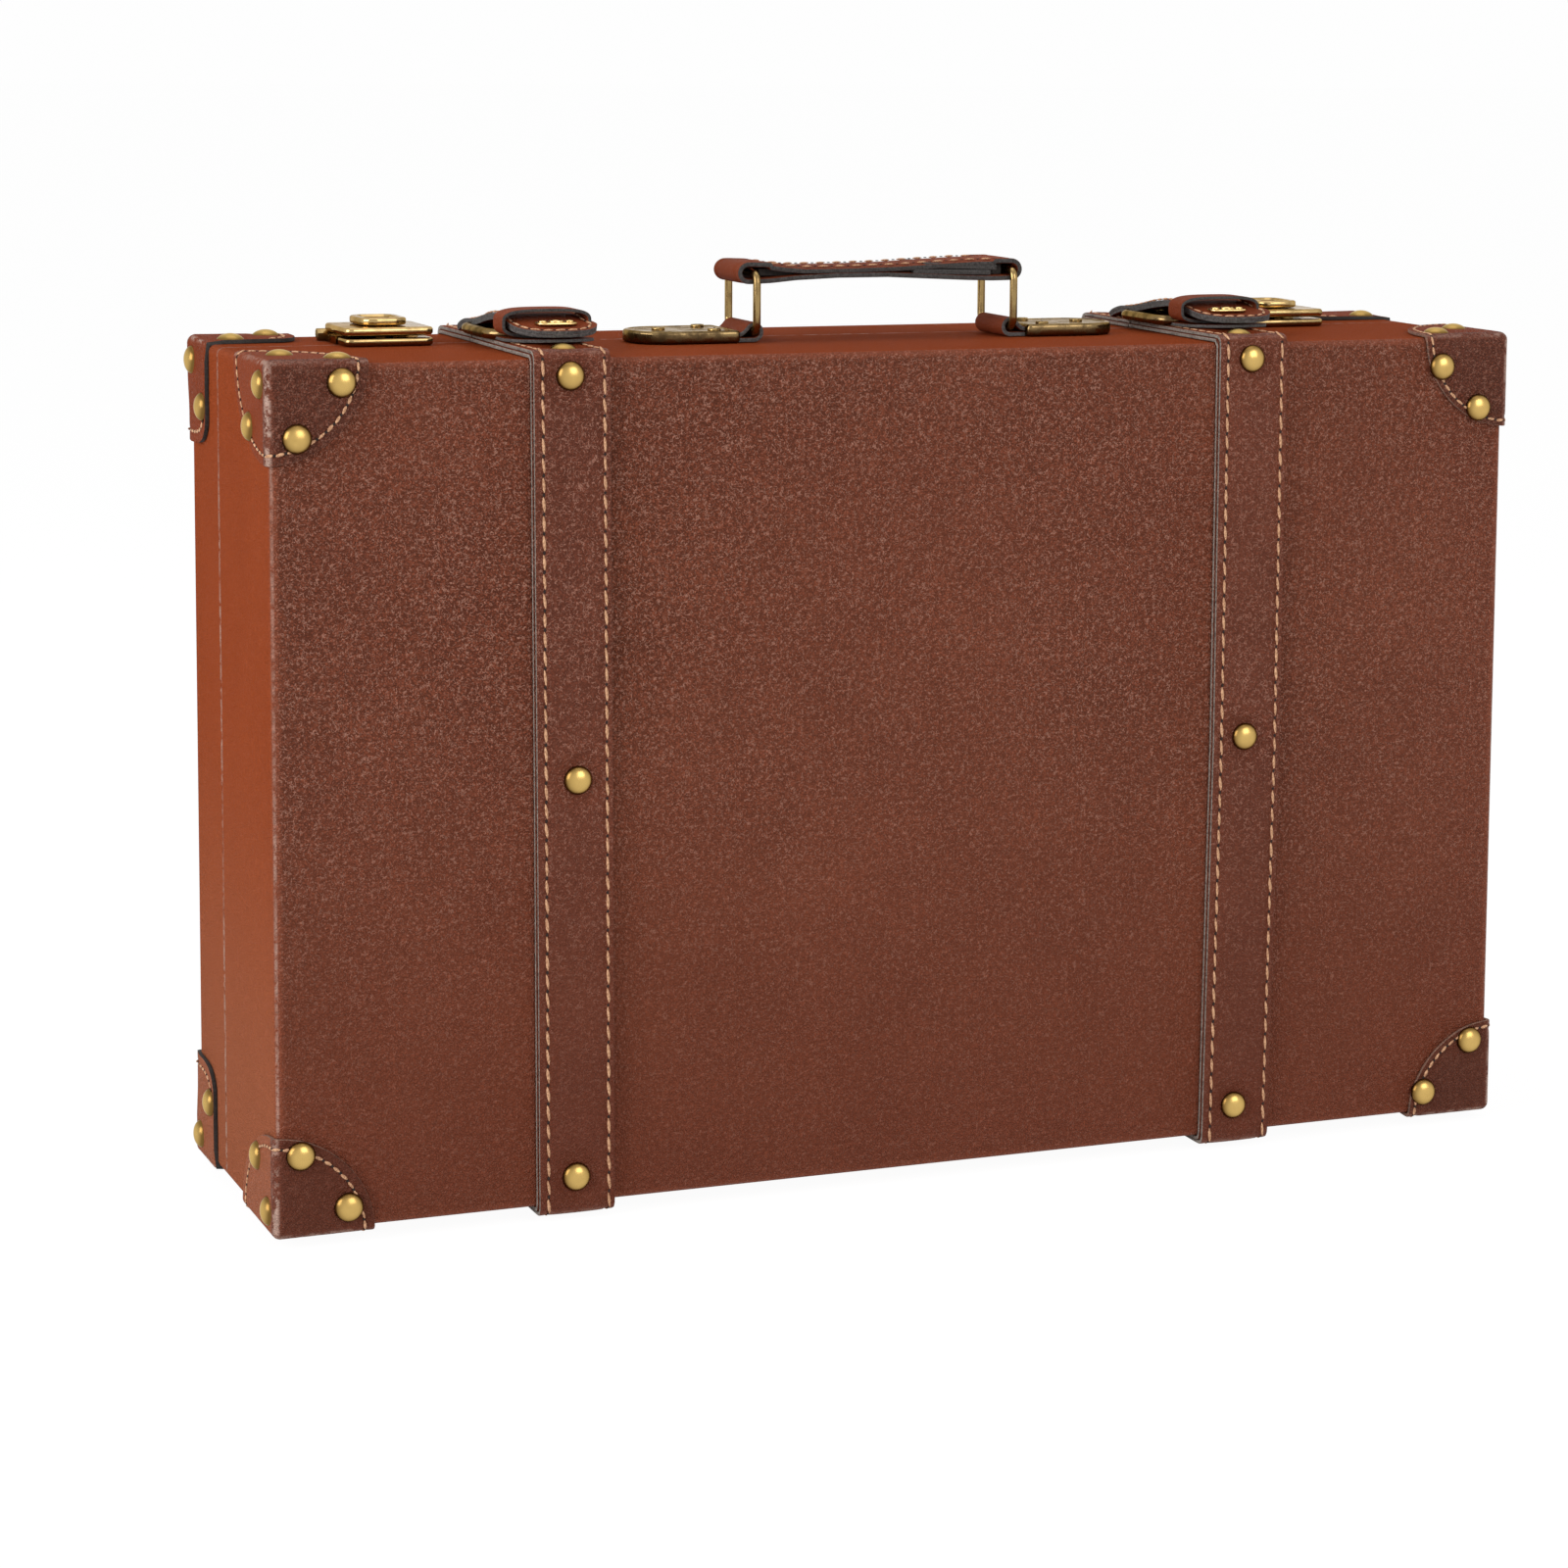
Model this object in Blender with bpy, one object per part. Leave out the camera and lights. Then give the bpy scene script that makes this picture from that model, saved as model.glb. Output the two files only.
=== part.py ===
"""A leather-covered suitcase trunk that stands on its long narrow side.

The front tray is the base and carries the handle. The back tray is the lid, which opens on hinges
under the case. Two straps with buckled flaps and two latches hold it shut on top.

Axes: X along the case, Y from front to back, Z up. The origin is on the floor under the centre.
Lengths called "from front" start at the case's front face, and heights called "above top" at its
top face. All lengths are in metres.
"""

import math

import bmesh
import bpy
from mathutils import Matrix, Vector

# Case
case_length = 0.6000
case_height = 0.3780
base_depth = 0.0970
lid_depth = 0.0530
parting_gap = 0.0006
fit_gap = 0.0003
skin_thickness = 0.0014
rim_turn_thickness = 0.0010
case_edge_radius = 0.0030
board_thickness = 0.0080
panel_thickness = 0.0060
lining_thickness = 0.0010
lining_setback = 0.0060
cut_overrun = 0.0020

# Dome nails
nail_radius = 0.0065
nail_height = 0.0045
nail_sink = 0.0005

# Corner protectors
protector_thickness = 0.0018
protector_length = 0.0430
protector_height = 0.0430
protector_depth = 0.0570
protector_roundness = 2.0
lid_protector_height = 0.0460
lid_protector_depth = 0.0390
lid_protector_cut = 0.0360
lid_protector_roundness = 5.0
face_nail_far = 0.0320
face_nail_near = 0.0095
face_nail_low = 0.0115
face_nail_high = 0.0330
end_nail_near = 0.0088
end_nail_far = 0.0285

# Straps
strap_width = 0.0360
strap_thickness = 0.0036
strap_top_setback = 0.0008
strap_bottom_setback = 0.0065
strap_dimple_radius = 0.0068
strap_dimple_rim_radius = 0.0095
strap_nail_from_top = 0.0075
strap_nail_from_bottom = 0.0130
strap_nail_middle = 0.1920
strap_nail_from_edge = 0.0160

# Strap closures
roll_from_front = 0.1210
roll_radius = 0.0020
frame_width = 0.0470
frame_back_from_front = 0.1050
frame_length = 0.0530
frame_bar_width = 0.0045
frame_bar_height = 0.0028
frame_corner_radius = 0.0080
frame_front_rise = 0.0022
prong_width = 0.0022
prong_height = 0.0020
prong_overhang = 0.0012
prong_eye_wall = 0.0008
tail_width = 0.0385
tail_thickness = 0.0030
tail_tip_from_front = 0.0220
tail_tip_drop = 0.0049
tail_tip_radius = 0.0150
tail_side_shift = 0.0020
tail_slot_width = 0.0040
layer_width = 0.0340
layer_thickness = 0.0016
layer_tip_from_front = 0.0270
layer_tip_radius = 0.0120
keeper_width = 0.0140
keeper_outer_width = 0.0450
keeper_height = 0.0130
keeper_wall = 0.0016
keeper_frame_gap = 0.0020
keeper_roundness = 4.5
eyelet_length = 0.0190
eyelet_width = 0.0100
eyelet_thickness = 0.0008
eyelet_hole_radius = 0.0030
eyelet_from_front = 0.0325
magnet_radius = 0.0060
magnet_from_front = 0.0700
striker_thickness = 0.0012

# Latches
latch_width = 0.0410
latch_front_from_front = 0.0810
latch_plate_height = 0.0035
latch_plate_setback = 0.0010
latch_gap = 0.0012
hasp_height = 0.0036
latch_edge_radius = 0.0009
latch_pivot_from_front = 0.1220
latch_barrel_radius = 0.0024
latch_pivot_drop = 0.0004
latch_pin_radius = 0.0012
latch_knuckle_width = 0.0240
latch_ear_overhang = 0.0030
knob_length = 0.0280
knob_width = 0.0220
knob_height = 0.0034
knob_from_front = 0.1035
knob_corner_radius = 0.0070
spindle_radius = 0.0030
cam_length = 0.0150
cam_width = 0.0050
cam_thickness = 0.0006

# Handle
handle_shift = 0.0035
ring_spacing = 0.1280
ring_wire_radius = 0.0018
ring_width = 0.0385
ring_height = 0.0271
ring_corner_radius = 0.0040
ring_pivot_height = 0.0049
grip_width = 0.0335
grip_loop_radius = 0.0056
grip_hole_radius = 0.0033
grip_waist_thickness = 0.0049
grip_waist_drop = 0.0010
tab_width = 0.0320
tab_thickness = 0.0020
plate_length = 0.0490
plate_width = 0.0390
plate_height = 0.0059
plate_setback = 0.0075
plate_pocket_length = 0.0320
plate_edge_radius = 0.0010
screw_radius = 0.0022
screw_height = 0.0008
screw_spread = 0.0110
screw_from_flat = 0.0380

# Hinges under the case
hinge_spacing = 0.2000
hinge_width = 0.0420
hinge_leaf_length = 0.0160
hinge_leaf_thickness = 0.0009
hinge_pin_radius = 0.0011
hinge_knuckle_width = 0.0140

# Facets
nail_segments = 10
nail_rings = 3
round_segments = 24
curve_steps = 5
edge_steps = 3
wire_resolution = 1
smooth_angle = math.radians(40)

# Shape shares
strap_spacing_share = 0.3310 / 0.6000
latch_spacing_share = 0.4510 / 0.6000
rise_share = 0.62
rise_place_share = 0.50
keeper_drop_share = 0.24
grip_shoulder_share = 0.16

# Derived places
case_depth = base_depth + parting_gap + lid_depth
floor_gap = fit_gap + protector_thickness + nail_height
bottom_z = floor_gap
top_z = bottom_z + case_height
front_y = -case_depth / 2
back_y = case_depth / 2
base_rim_y = front_y + base_depth
lid_rim_y = base_rim_y + parting_gap
half_length = case_length / 2
strap_spacing = case_length * strap_spacing_share
latch_spacing = case_length * latch_spacing_share
parting_y = (base_rim_y + lid_rim_y) / 2
nail_seat = fit_gap + protector_thickness
strap_top = fit_gap + strap_thickness
frame_from_front = frame_back_from_front - frame_length
keeper_from_front = frame_from_front - keeper_frame_gap - keeper_width / 2
sides = (("left", -1), ("right", 1))


def from_front(distance):
    return front_y + distance


def above_top(height):
    return top_z + height


# Building blocks

def clear_scene():
    for item in list(bpy.data.objects):
        bpy.data.objects.remove(item, do_unlink=True)


def make_material(name, colour, roughness, metallic=0.0):
    material = bpy.data.materials.new(name)
    material.use_nodes = True
    shader = material.node_tree.nodes["Principled BSDF"]
    shader.inputs["Base Color"].default_value = (*colour, 1.0)
    shader.inputs["Roughness"].default_value = roughness
    shader.inputs["Metallic"].default_value = metallic
    return material


def add_object(name, bm, material, origin=Vector()):
    """Makes an object of the mesh, with its origin at the given place."""
    bmesh.ops.translate(bm, verts=bm.verts, vec=-Vector(origin))
    bmesh.ops.recalc_face_normals(bm, faces=bm.faces)
    mesh = bpy.data.meshes.new(name)
    bm.to_mesh(mesh)
    bm.free()
    mesh.materials.append(material)
    mesh.shade_smooth()
    mesh.set_sharp_from_angle(angle=smooth_angle)
    item = bpy.data.objects.new(name, mesh)
    item.location = origin
    bpy.context.collection.objects.link(item)
    return item


def combine(item, name, bm, operation):
    """Cuts or joins the mesh with the object, and keeps it as a hidden guide."""
    guide = add_object(name, bm, item.data.materials[0])
    guide.hide_render = True
    guide.display_type = "WIRE"
    modifier = item.modifiers.new(name, "BOOLEAN")
    modifier.operation = operation
    modifier.object = guide


def cut(item, name, bm):
    combine(item, name, bm, "DIFFERENCE")


def join(item, name, bm):
    combine(item, name, bm, "UNION")


def add_box(bm, low, high):
    """Adds a box between two opposite corners."""
    low = Vector(low)
    high = Vector(high)
    size = high - low
    place = Matrix.Translation((low + high) / 2) @ Matrix.Diagonal((*size, 1))
    return bmesh.ops.create_cube(bm, size=1, matrix=place)["verts"]


def add_prism(bm, outline, start, end, axis):
    """Extrudes an outline along X, Y or Z. Its points are in the other two axes, in order."""
    rest = [index for index in range(3) if index != "XYZ".index(axis)]
    verts = []
    for point in outline:
        place = Vector()
        place["XYZ".index(axis)] = start
        place[rest[0]] = point[0]
        place[rest[1]] = point[1]
        verts.append(bm.verts.new(place))
    face = bm.faces.new(verts)
    step = Vector()
    step["XYZ".index(axis)] = end - start
    moved = [item for item in bmesh.ops.extrude_face_region(bm, geom=[face])["geom"]
             if isinstance(item, bmesh.types.BMVert)]
    bmesh.ops.translate(bm, verts=moved, vec=step)
    return verts + moved


def add_cylinder(bm, centre, radius, length, axis, segments=round_segments, end_radius=None):
    """Adds a cylinder, or a cone, centred on a point."""
    turn = {"X": Matrix.Rotation(math.pi / 2, 4, "Y"), "Y": Matrix.Rotation(-math.pi / 2, 4, "X"),
            "Z": Matrix.Identity(4)}[axis]
    return bmesh.ops.create_cone(bm, cap_ends=True, segments=segments, radius1=radius,
                                 radius2=radius if end_radius is None else end_radius, depth=length,
                                 matrix=Matrix.Translation(centre) @ turn)["verts"]


def arc(centre, radius, start, end, steps=curve_steps):
    """Points along an arc, from one angle in degrees to another."""
    points = []
    for step in range(steps + 1):
        angle = math.radians(start + (end - start) * step / steps)
        points.append((centre[0] + radius * math.cos(angle), centre[1] + radius * math.sin(angle)))
    return points


def rounded_rectangle(centre, width, height, radius, steps=curve_steps):
    """Points of a rectangle with round corners, counter-clockwise."""
    points = []
    for quarter, (across, up) in enumerate(((1, 1), (-1, 1), (-1, -1), (1, -1))):
        corner = (centre[0] + across * (width / 2 - radius), centre[1] + up * (height / 2 - radius))
        points += arc(corner, radius, 90 * quarter, 90 * (quarter + 1), steps)
    return points


def offset_line(points, distances):
    """Moves each point of a line to its left by its own distance, keeping even walls at bends."""
    moved = []
    last = len(points) - 1
    for index, point in enumerate(points):
        here = Vector(point)
        before = (here - Vector(points[index - 1])).normalized() if index > 0 else None
        after = (Vector(points[index + 1]) - here).normalized() if index < last else None
        before = before or after
        after = after or before
        left_before = Vector((-before.y, before.x))
        left_after = Vector((-after.y, after.x))
        bend = (left_before + left_after).normalized()
        reach = distances[index] / max(bend.dot(left_after), 0.5)
        moved.append(tuple(here + bend * reach))
    return moved


def band_outline(points, thickness):
    """The outline of a strip whose middle runs along the points."""
    half = [thickness / 2] * len(points)
    return offset_line(points, half) + offset_line(points, [-value for value in half])[::-1]


def smooth_line(stations, steps=curve_steps):
    """A smooth curve through the stations, read at even steps between each two."""
    ends = [stations[0]] + list(stations) + [stations[-1]]
    points = []
    for index in range(1, len(ends) - 2):
        before, start, end, after = (Vector(ends[index + shift]) for shift in (-1, 0, 1, 2))
        for step in range(steps):
            share = step / steps
            point = 0.5 * (2 * start + (end - before) * share
                           + (2 * before - 5 * start + 4 * end - after) * share ** 2
                           + (3 * start - before - 3 * end + after) * share ** 3)
            points.append(tuple(point))
    points.append(tuple(stations[-1]))
    return points


def soften(item, width, segments=1):
    """Rounds an object's sharp edges."""
    modifier = item.modifiers.new("Eased edges", "BEVEL")
    modifier.width = width
    modifier.segments = segments
    modifier.limit_method = "ANGLE"
    modifier.angle_limit = smooth_angle


# Case

def tray_box(bm, inset, depth_start, depth_end, facing):
    """A box inside a tray: inset from its sides, between two depths from its closed face."""
    closed_y = front_y if facing < 0 else back_y
    ends = sorted((closed_y - facing * depth_start, closed_y - facing * depth_end))
    low = (-half_length + inset, ends[0], bottom_z + inset)
    high = (half_length - inset, ends[1], top_z - inset)
    return add_box(bm, low, high)


def make_covering(name, depth, facing, material):
    """The leather skin: over the closed face and the sides, and turned in over the boards' rim."""
    bm = bmesh.new()
    tray_box(bm, 0, 0, depth, facing)
    rim_y = (front_y if facing < 0 else back_y) - facing * depth
    outer = [edge for edge in bm.edges if any(abs(vert.co.y - rim_y) > fit_gap for vert in edge.verts)]
    bmesh.ops.bevel(bm, geom=outer, offset=case_edge_radius, segments=edge_steps, profile=0.5,
                    affect="EDGES")
    item = add_object(name, bm, material)
    cavity = bmesh.new()
    tray_box(cavity, skin_thickness, skin_thickness, depth - rim_turn_thickness, facing)
    inner_radius = case_edge_radius - skin_thickness
    bmesh.ops.bevel(cavity, geom=list(cavity.edges), offset=inner_radius, segments=1, profile=0.5,
                    affect="EDGES")
    cut(item, name + "_cavity", cavity)
    mouth = bmesh.new()
    tray_box(mouth, skin_thickness + fit_gap + board_thickness, depth / 2, depth + cut_overrun, facing)
    cut(item, name + "_mouth", mouth)
    return item


def make_boards(prefix, panel_name, depth, facing, material):
    """The panel behind the closed face, and the glued frame of four boards behind it."""
    inset = skin_thickness + fit_gap
    eased = case_edge_radius - skin_thickness
    panel_bm = bmesh.new()
    tray_box(panel_bm, inset, inset, inset + panel_thickness, facing)
    soften(add_object(panel_name, panel_bm, material), eased)
    frame_start = inset + panel_thickness + fit_gap
    frame_end = depth - rim_turn_thickness - fit_gap
    closed_y = front_y if facing < 0 else back_y
    near, far = sorted((closed_y - facing * frame_start, closed_y - facing * frame_end))
    low = Vector((-half_length + inset, near, bottom_z + inset))
    high = Vector((half_length - inset, far, top_z - inset))
    bm = bmesh.new()
    add_box(bm, low, high)
    item = add_object(prefix + "_board_frame", bm, material)
    soften(item, eased)
    hollow = bmesh.new()
    wall = Vector((board_thickness, -cut_overrun, board_thickness))
    add_box(hollow, low + wall, high - wall)
    cut(item, prefix + "_board_frame_hollow", hollow)


def make_lining(name, depth, facing, material):
    """The inner shell that hides the boards, open at the parting."""
    inset = skin_thickness + fit_gap + board_thickness + fit_gap
    start = skin_thickness + fit_gap + panel_thickness + fit_gap
    bm = bmesh.new()
    tray_box(bm, inset, start, depth - lining_setback, facing)
    item = add_object(name, bm, material)
    hollow = bmesh.new()
    tray_box(hollow, inset + lining_thickness, start + lining_thickness, depth + cut_overrun, facing)
    cut(item, name + "_hollow", hollow)


# Corner protectors

def corner_matrix(side, facing, up):
    """Takes a corner's own axes, which run along the case's edges from the corner, into the case."""
    corner = Vector((side * half_length, front_y if facing < 0 else back_y, top_z if up > 0 else bottom_z))
    return Matrix.Translation(corner) @ Matrix.Diagonal((-side, -facing, -up, 1))


def lobe_outline(reach_across, reach_along, roundness):
    """A quarter of an oval, from one fold to the next. A higher roundness makes it squarer."""
    points = []
    for step in range(2 * curve_steps + 1):
        angle = math.pi / 2 * step / (2 * curve_steps)
        points.append((reach_across * math.cos(angle) ** (2 / roundness),
                       reach_along * math.sin(angle) ** (2 / roundness)))
    return points


def make_protector(name, side, facing, up, material):
    """Three lobes of leather folded over a corner. The lid's are squarer, and cut short along Y."""
    bm = bmesh.new()
    corner = -fit_gap
    reaches = (protector_length, protector_depth, protector_height)
    if facing > 0:
        reaches = (protector_length, lid_protector_depth, lid_protector_height)
    for across, along in ((0, 1), (1, 2), (2, 0)):
        squarer = facing > 0 and 1 in (across, along)
        roundness = lid_protector_roundness if squarer else protector_roundness
        verts = [bm.verts.new((corner, corner, corner))]
        for point in lobe_outline(reaches[across], reaches[along], roundness):
            place = [corner, corner, corner]
            place[across] = point[0] if point[0] > fit_gap else corner
            place[along] = point[1] if point[1] > fit_gap else corner
            verts.append(bm.verts.new(place))
        bm.faces.new(verts)
    bmesh.ops.remove_doubles(bm, verts=bm.verts, dist=fit_gap / 10)
    if facing > 0:
        bmesh.ops.bisect_plane(bm, geom=bm.verts[:] + bm.edges[:] + bm.faces[:],
                               plane_co=(0, lid_protector_cut, 0), plane_no=(0, 1, 0),
                               clear_outer=True)
    folds = [edge for edge in bm.edges if len(edge.link_faces) == 2]
    bmesh.ops.bevel(bm, geom=folds, offset=case_edge_radius + fit_gap, segments=edge_steps,
                    profile=0.5, affect="EDGES")
    bmesh.ops.transform(bm, matrix=corner_matrix(side, facing, up), verts=bm.verts)
    centre = Vector((0, 0, (bottom_z + top_z) / 2))
    bm.normal_update()
    inward = [face for face in bm.faces if face.normal.dot(face.calc_center_median() - centre) < 0]
    bmesh.ops.reverse_faces(bm, faces=inward)
    mesh = bpy.data.meshes.new(name)
    bm.to_mesh(mesh)
    bm.free()
    mesh.materials.append(material)
    mesh.shade_smooth()
    mesh.set_sharp_from_angle(angle=smooth_angle)
    item = bpy.data.objects.new(name, mesh)
    bpy.context.collection.objects.link(item)
    shell = item.modifiers.new("Leather thickness", "SOLIDIFY")
    shell.thickness = protector_thickness
    shell.offset = 1
    shell.use_even_offset = True
    join_nails(item, protector_nails(side, facing, up))


# Dome nails

def add_nail(bm, centre, normal):
    """A dome nail's head: an arc turned about its axis, its flat underside set into a face."""
    dome_radius = (nail_radius ** 2 + nail_height ** 2) / (2 * nail_height)
    half_angle = math.acos((dome_radius - nail_height - nail_sink) / dome_radius)
    own = bmesh.new()
    profile = [own.verts.new((0, 0, -nail_sink))]
    for step in range(nail_rings + 1):
        angle = half_angle * (1 - step / nail_rings)
        height = nail_height - dome_radius * (1 - math.cos(angle))
        profile.append(own.verts.new((dome_radius * math.sin(angle), 0, height)))
    edges = [own.edges.new(pair) for pair in zip(profile, profile[1:])]
    bmesh.ops.spin(own, geom=profile + edges, cent=(0, 0, 0), axis=(0, 0, 1), angle=math.tau,
                   steps=nail_segments, use_merge=True, use_duplicate=False)
    bmesh.ops.remove_doubles(own, verts=own.verts, dist=fit_gap / 10)
    turn = Vector((0, 0, 1)).rotation_difference(Vector(normal)).to_matrix().to_4x4()
    bmesh.ops.transform(own, matrix=Matrix.Translation(centre) @ turn, verts=own.verts)
    own_mesh = bpy.data.meshes.new("Nail")
    own.to_mesh(own_mesh)
    own.free()
    bm.from_mesh(own_mesh)
    bpy.data.meshes.remove(own_mesh)


def protector_nails(side, facing, up):
    """Where a protector's nails stand and which way they face: two on each of its three faces."""
    place = corner_matrix(side, facing, up)
    lift = -nail_seat
    inset = ((face_nail_far, face_nail_near), (face_nail_low, face_nail_high))
    across = ((end_nail_near, end_nail_near), (end_nail_far, end_nail_far))
    flat = ((face_nail_far, face_nail_near), (face_nail_low, end_nail_far))
    nails = []
    for along, height in inset:
        nails.append((place @ Vector((along, lift, height)), (0, facing, 0)))
    for along, height in across:
        nails.append((place @ Vector((lift, along, height)), (side, 0, 0)))
    for along, height in flat:
        nails.append((place @ Vector((along, height, lift)), (0, 0, up)))
    return nails


def strap_nails(strap_x, facing):
    """Where a strap's nails stand: three on its tall face, one below, and on the base one above."""
    face_y = (front_y if facing < 0 else back_y) + facing * nail_seat
    inward = -facing * strap_nail_from_edge
    heights = (top_z - strap_nail_from_top, bottom_z + strap_nail_middle, bottom_z + strap_nail_from_bottom)
    nails = [(Vector((strap_x, face_y, height)), (0, facing, 0)) for height in heights]
    edge_y = (front_y if facing < 0 else back_y) + inward
    if facing < 0:
        nails.append((Vector((strap_x, edge_y, top_z + nail_seat)), (0, 0, 1)))
    nails.append((Vector((strap_x, edge_y, bottom_z - nail_seat)), (0, 0, -1)))
    return nails


def join_nails(item, nails):
    """Fuses nail heads with the leather that they hold."""
    bm = bmesh.new()
    for centre, normal in nails:
        add_nail(bm, centre, normal)
    join(item, item.name + "_nails", bm)


# Straps

def make_strap(name, strap_x, facing, material):
    """A band up the tall face, over the top edge and under the bottom one, dished at its nails."""
    closed_y = front_y if facing < 0 else back_y
    top_end = parting_y + facing * strap_top_setback
    bottom_end = parting_y + facing * strap_bottom_setback
    radius = case_edge_radius + fit_gap + strap_thickness / 2
    inner_y = closed_y - facing * case_edge_radius
    top_corner = (inner_y, top_z - case_edge_radius)
    bottom_corner = (inner_y, bottom_z + case_edge_radius)
    start, middle, end = (90, 180, 270) if facing < 0 else (90, 0, -90)
    points = [(top_end, top_z + fit_gap + strap_thickness / 2)]
    points += arc(top_corner, radius, start, middle)
    points += arc(bottom_corner, radius, middle, end)
    points.append((bottom_end, bottom_z - fit_gap - strap_thickness / 2))
    bm = bmesh.new()
    add_prism(bm, band_outline(points, strap_thickness), strap_x - strap_width / 2,
              strap_x + strap_width / 2, "X")
    item = add_object(name, bm, material)
    dimples = bmesh.new()
    depth = strap_top - nail_seat
    slope = (strap_dimple_rim_radius - strap_dimple_radius) / depth
    reach = depth + cut_overrun
    nails = strap_nails(strap_x, facing)
    for floor, normal in nails:
        turn = Vector((0, 0, 1)).rotation_difference(Vector(normal)).to_matrix().to_4x4()
        place = Matrix.Translation(floor + Vector(normal) * reach / 2) @ turn
        bmesh.ops.create_cone(dimples, cap_ends=True, segments=round_segments, depth=reach,
                              radius1=strap_dimple_radius, matrix=place,
                              radius2=strap_dimple_radius + slope * reach)
    cut(item, name + "_dimples", dimples)
    join_nails(item, nails)
    return item


# Strap closures

frame_low = strap_top + fit_gap
frame_slope = frame_front_rise / frame_length
frame_front_from_front = frame_back_from_front - frame_length
roll_height = strap_top + fit_gap + roll_radius
prong_base = frame_low + frame_front_rise + frame_bar_height + fit_gap
tail_peak = prong_base + prong_height + 2 * fit_gap + tail_thickness / 2


def height_along(line, distance):
    """A line's height at a distance from the front, between the two points round it."""
    for start, end in zip(line, line[1:]):
        if min(start[0], end[0]) <= distance <= max(start[0], end[0]) and start[0] != end[0]:
            share = (distance - start[0]) / (end[0] - start[0])
            return start[1] + (end[1] - start[1]) * share
    return line[-1][1] if distance < line[-1][0] else line[0][1]


def tail_line():
    """The tail's middle: off the roll, over the frame's bars and the prong, down to its tip."""
    over_back = frame_low + frame_bar_height + 2 * fit_gap + tail_thickness / 2
    bar_front = frame_back_from_front - frame_bar_width
    rise_from = bar_front - fit_gap
    rise_to = frame_front_from_front + frame_bar_width
    middle = rise_from + (rise_to - rise_from) * rise_place_share
    return smooth_line([
        (roll_from_front, roll_height),
        (frame_back_from_front + frame_bar_width / 2, over_back),
        (rise_from, over_back + fit_gap),
        (middle, over_back + (tail_peak - over_back) * rise_share),
        (rise_to, tail_peak),
        (frame_front_from_front - prong_overhang, tail_peak),
        (keeper_from_front, tail_peak - tail_tip_drop * keeper_drop_share),
        (tail_tip_from_front, tail_peak - tail_tip_drop),
    ])


def layer_line():
    """The lower layer's middle: from in front of the back bar, under the front bar, to its tip."""
    bar_front = frame_back_from_front - frame_bar_width
    half = layer_thickness / 2
    under_tail = height_along(tail_line(), bar_front) - tail_thickness / 2 - 2 * fit_gap - half
    low = strap_top + fit_gap + half
    front_low = frame_low + frame_slope * (frame_length - frame_bar_width) - fit_gap - half
    return smooth_line([
        (bar_front - prong_eye_wall, under_tail),
        ((bar_front + frame_front_from_front) / 2, (under_tail + low) / 2),
        (frame_front_from_front + frame_bar_width, min(front_low, low + fit_gap)),
        (frame_front_from_front, min(front_low, low + fit_gap)),
        (layer_tip_from_front, low + layer_thickness / 2),
    ])


def add_strip(bm, line, start, tip, width, thickness, tip_radius, centre_x):
    """Lofts a flat strip along a line, with a round tip."""
    round_start = tip + tip_radius
    count = 3 * curve_steps
    distances = [start + (round_start - start) * step / count for step in range(count)]
    for step in range(curve_steps + 1):
        angle = math.pi / 2 * step / curve_steps
        distances.append(tip + tip_radius * (1 - math.sin(angle)))
    middles = [(distance, height_along(line, distance)) for distance in distances]
    upper = offset_line(middles, [-thickness / 2] * len(middles))
    lower = offset_line(middles, [thickness / 2] * len(middles))
    rings = []
    for distance, above, below in zip(distances, upper, lower):
        inside = min(distance - tip, tip_radius)
        half = width / 2 - tip_radius + math.sqrt(max(tip_radius ** 2 - (tip_radius - inside) ** 2, 0))
        corners = ((-half, above), (half, above), (half, below), (-half, below))
        rings.append([bm.verts.new((centre_x + across, from_front(point[0]), above_top(point[1])))
                      for across, point in corners])
    for first, second in zip(rings, rings[1:]):
        for index in range(4):
            following = (index + 1) % 4
            bm.faces.new((first[index], first[following], second[following], second[index]))
    bm.faces.new(rings[0])
    bm.faces.new(rings[-1])
    return middles


def flap_origin(strap_x):
    return Vector((strap_x, from_front(roll_from_front), above_top(roll_height)))


def make_tail(name, strap_x, leather):
    """The upper strap, rolled at its back, slotted for the prong's eye."""
    centre_x = strap_x + tail_side_shift
    bm = bmesh.new()
    add_strip(bm, tail_line(), roll_from_front - roll_radius / 2, tail_tip_from_front, tail_width,
              tail_thickness, tail_tip_radius, centre_x)
    item = add_object(name, bm, leather, flap_origin(strap_x))
    roll = bmesh.new()
    add_cylinder(roll, (centre_x, from_front(roll_from_front), above_top(roll_height)), roll_radius,
                 tail_width, "X")
    join(item, name + "_roll", roll)
    slot = bmesh.new()
    slot_end = frame_back_from_front + 2 * prong_width
    slot_start = frame_back_from_front - frame_bar_width - 2 * prong_width
    add_box(slot, (strap_x - tail_slot_width / 2, from_front(slot_start), above_top(frame_low)),
            (strap_x + tail_slot_width / 2, from_front(slot_end), above_top(tail_peak + tail_thickness)))
    cut(item, name + "_slot", slot)
    return item


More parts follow.
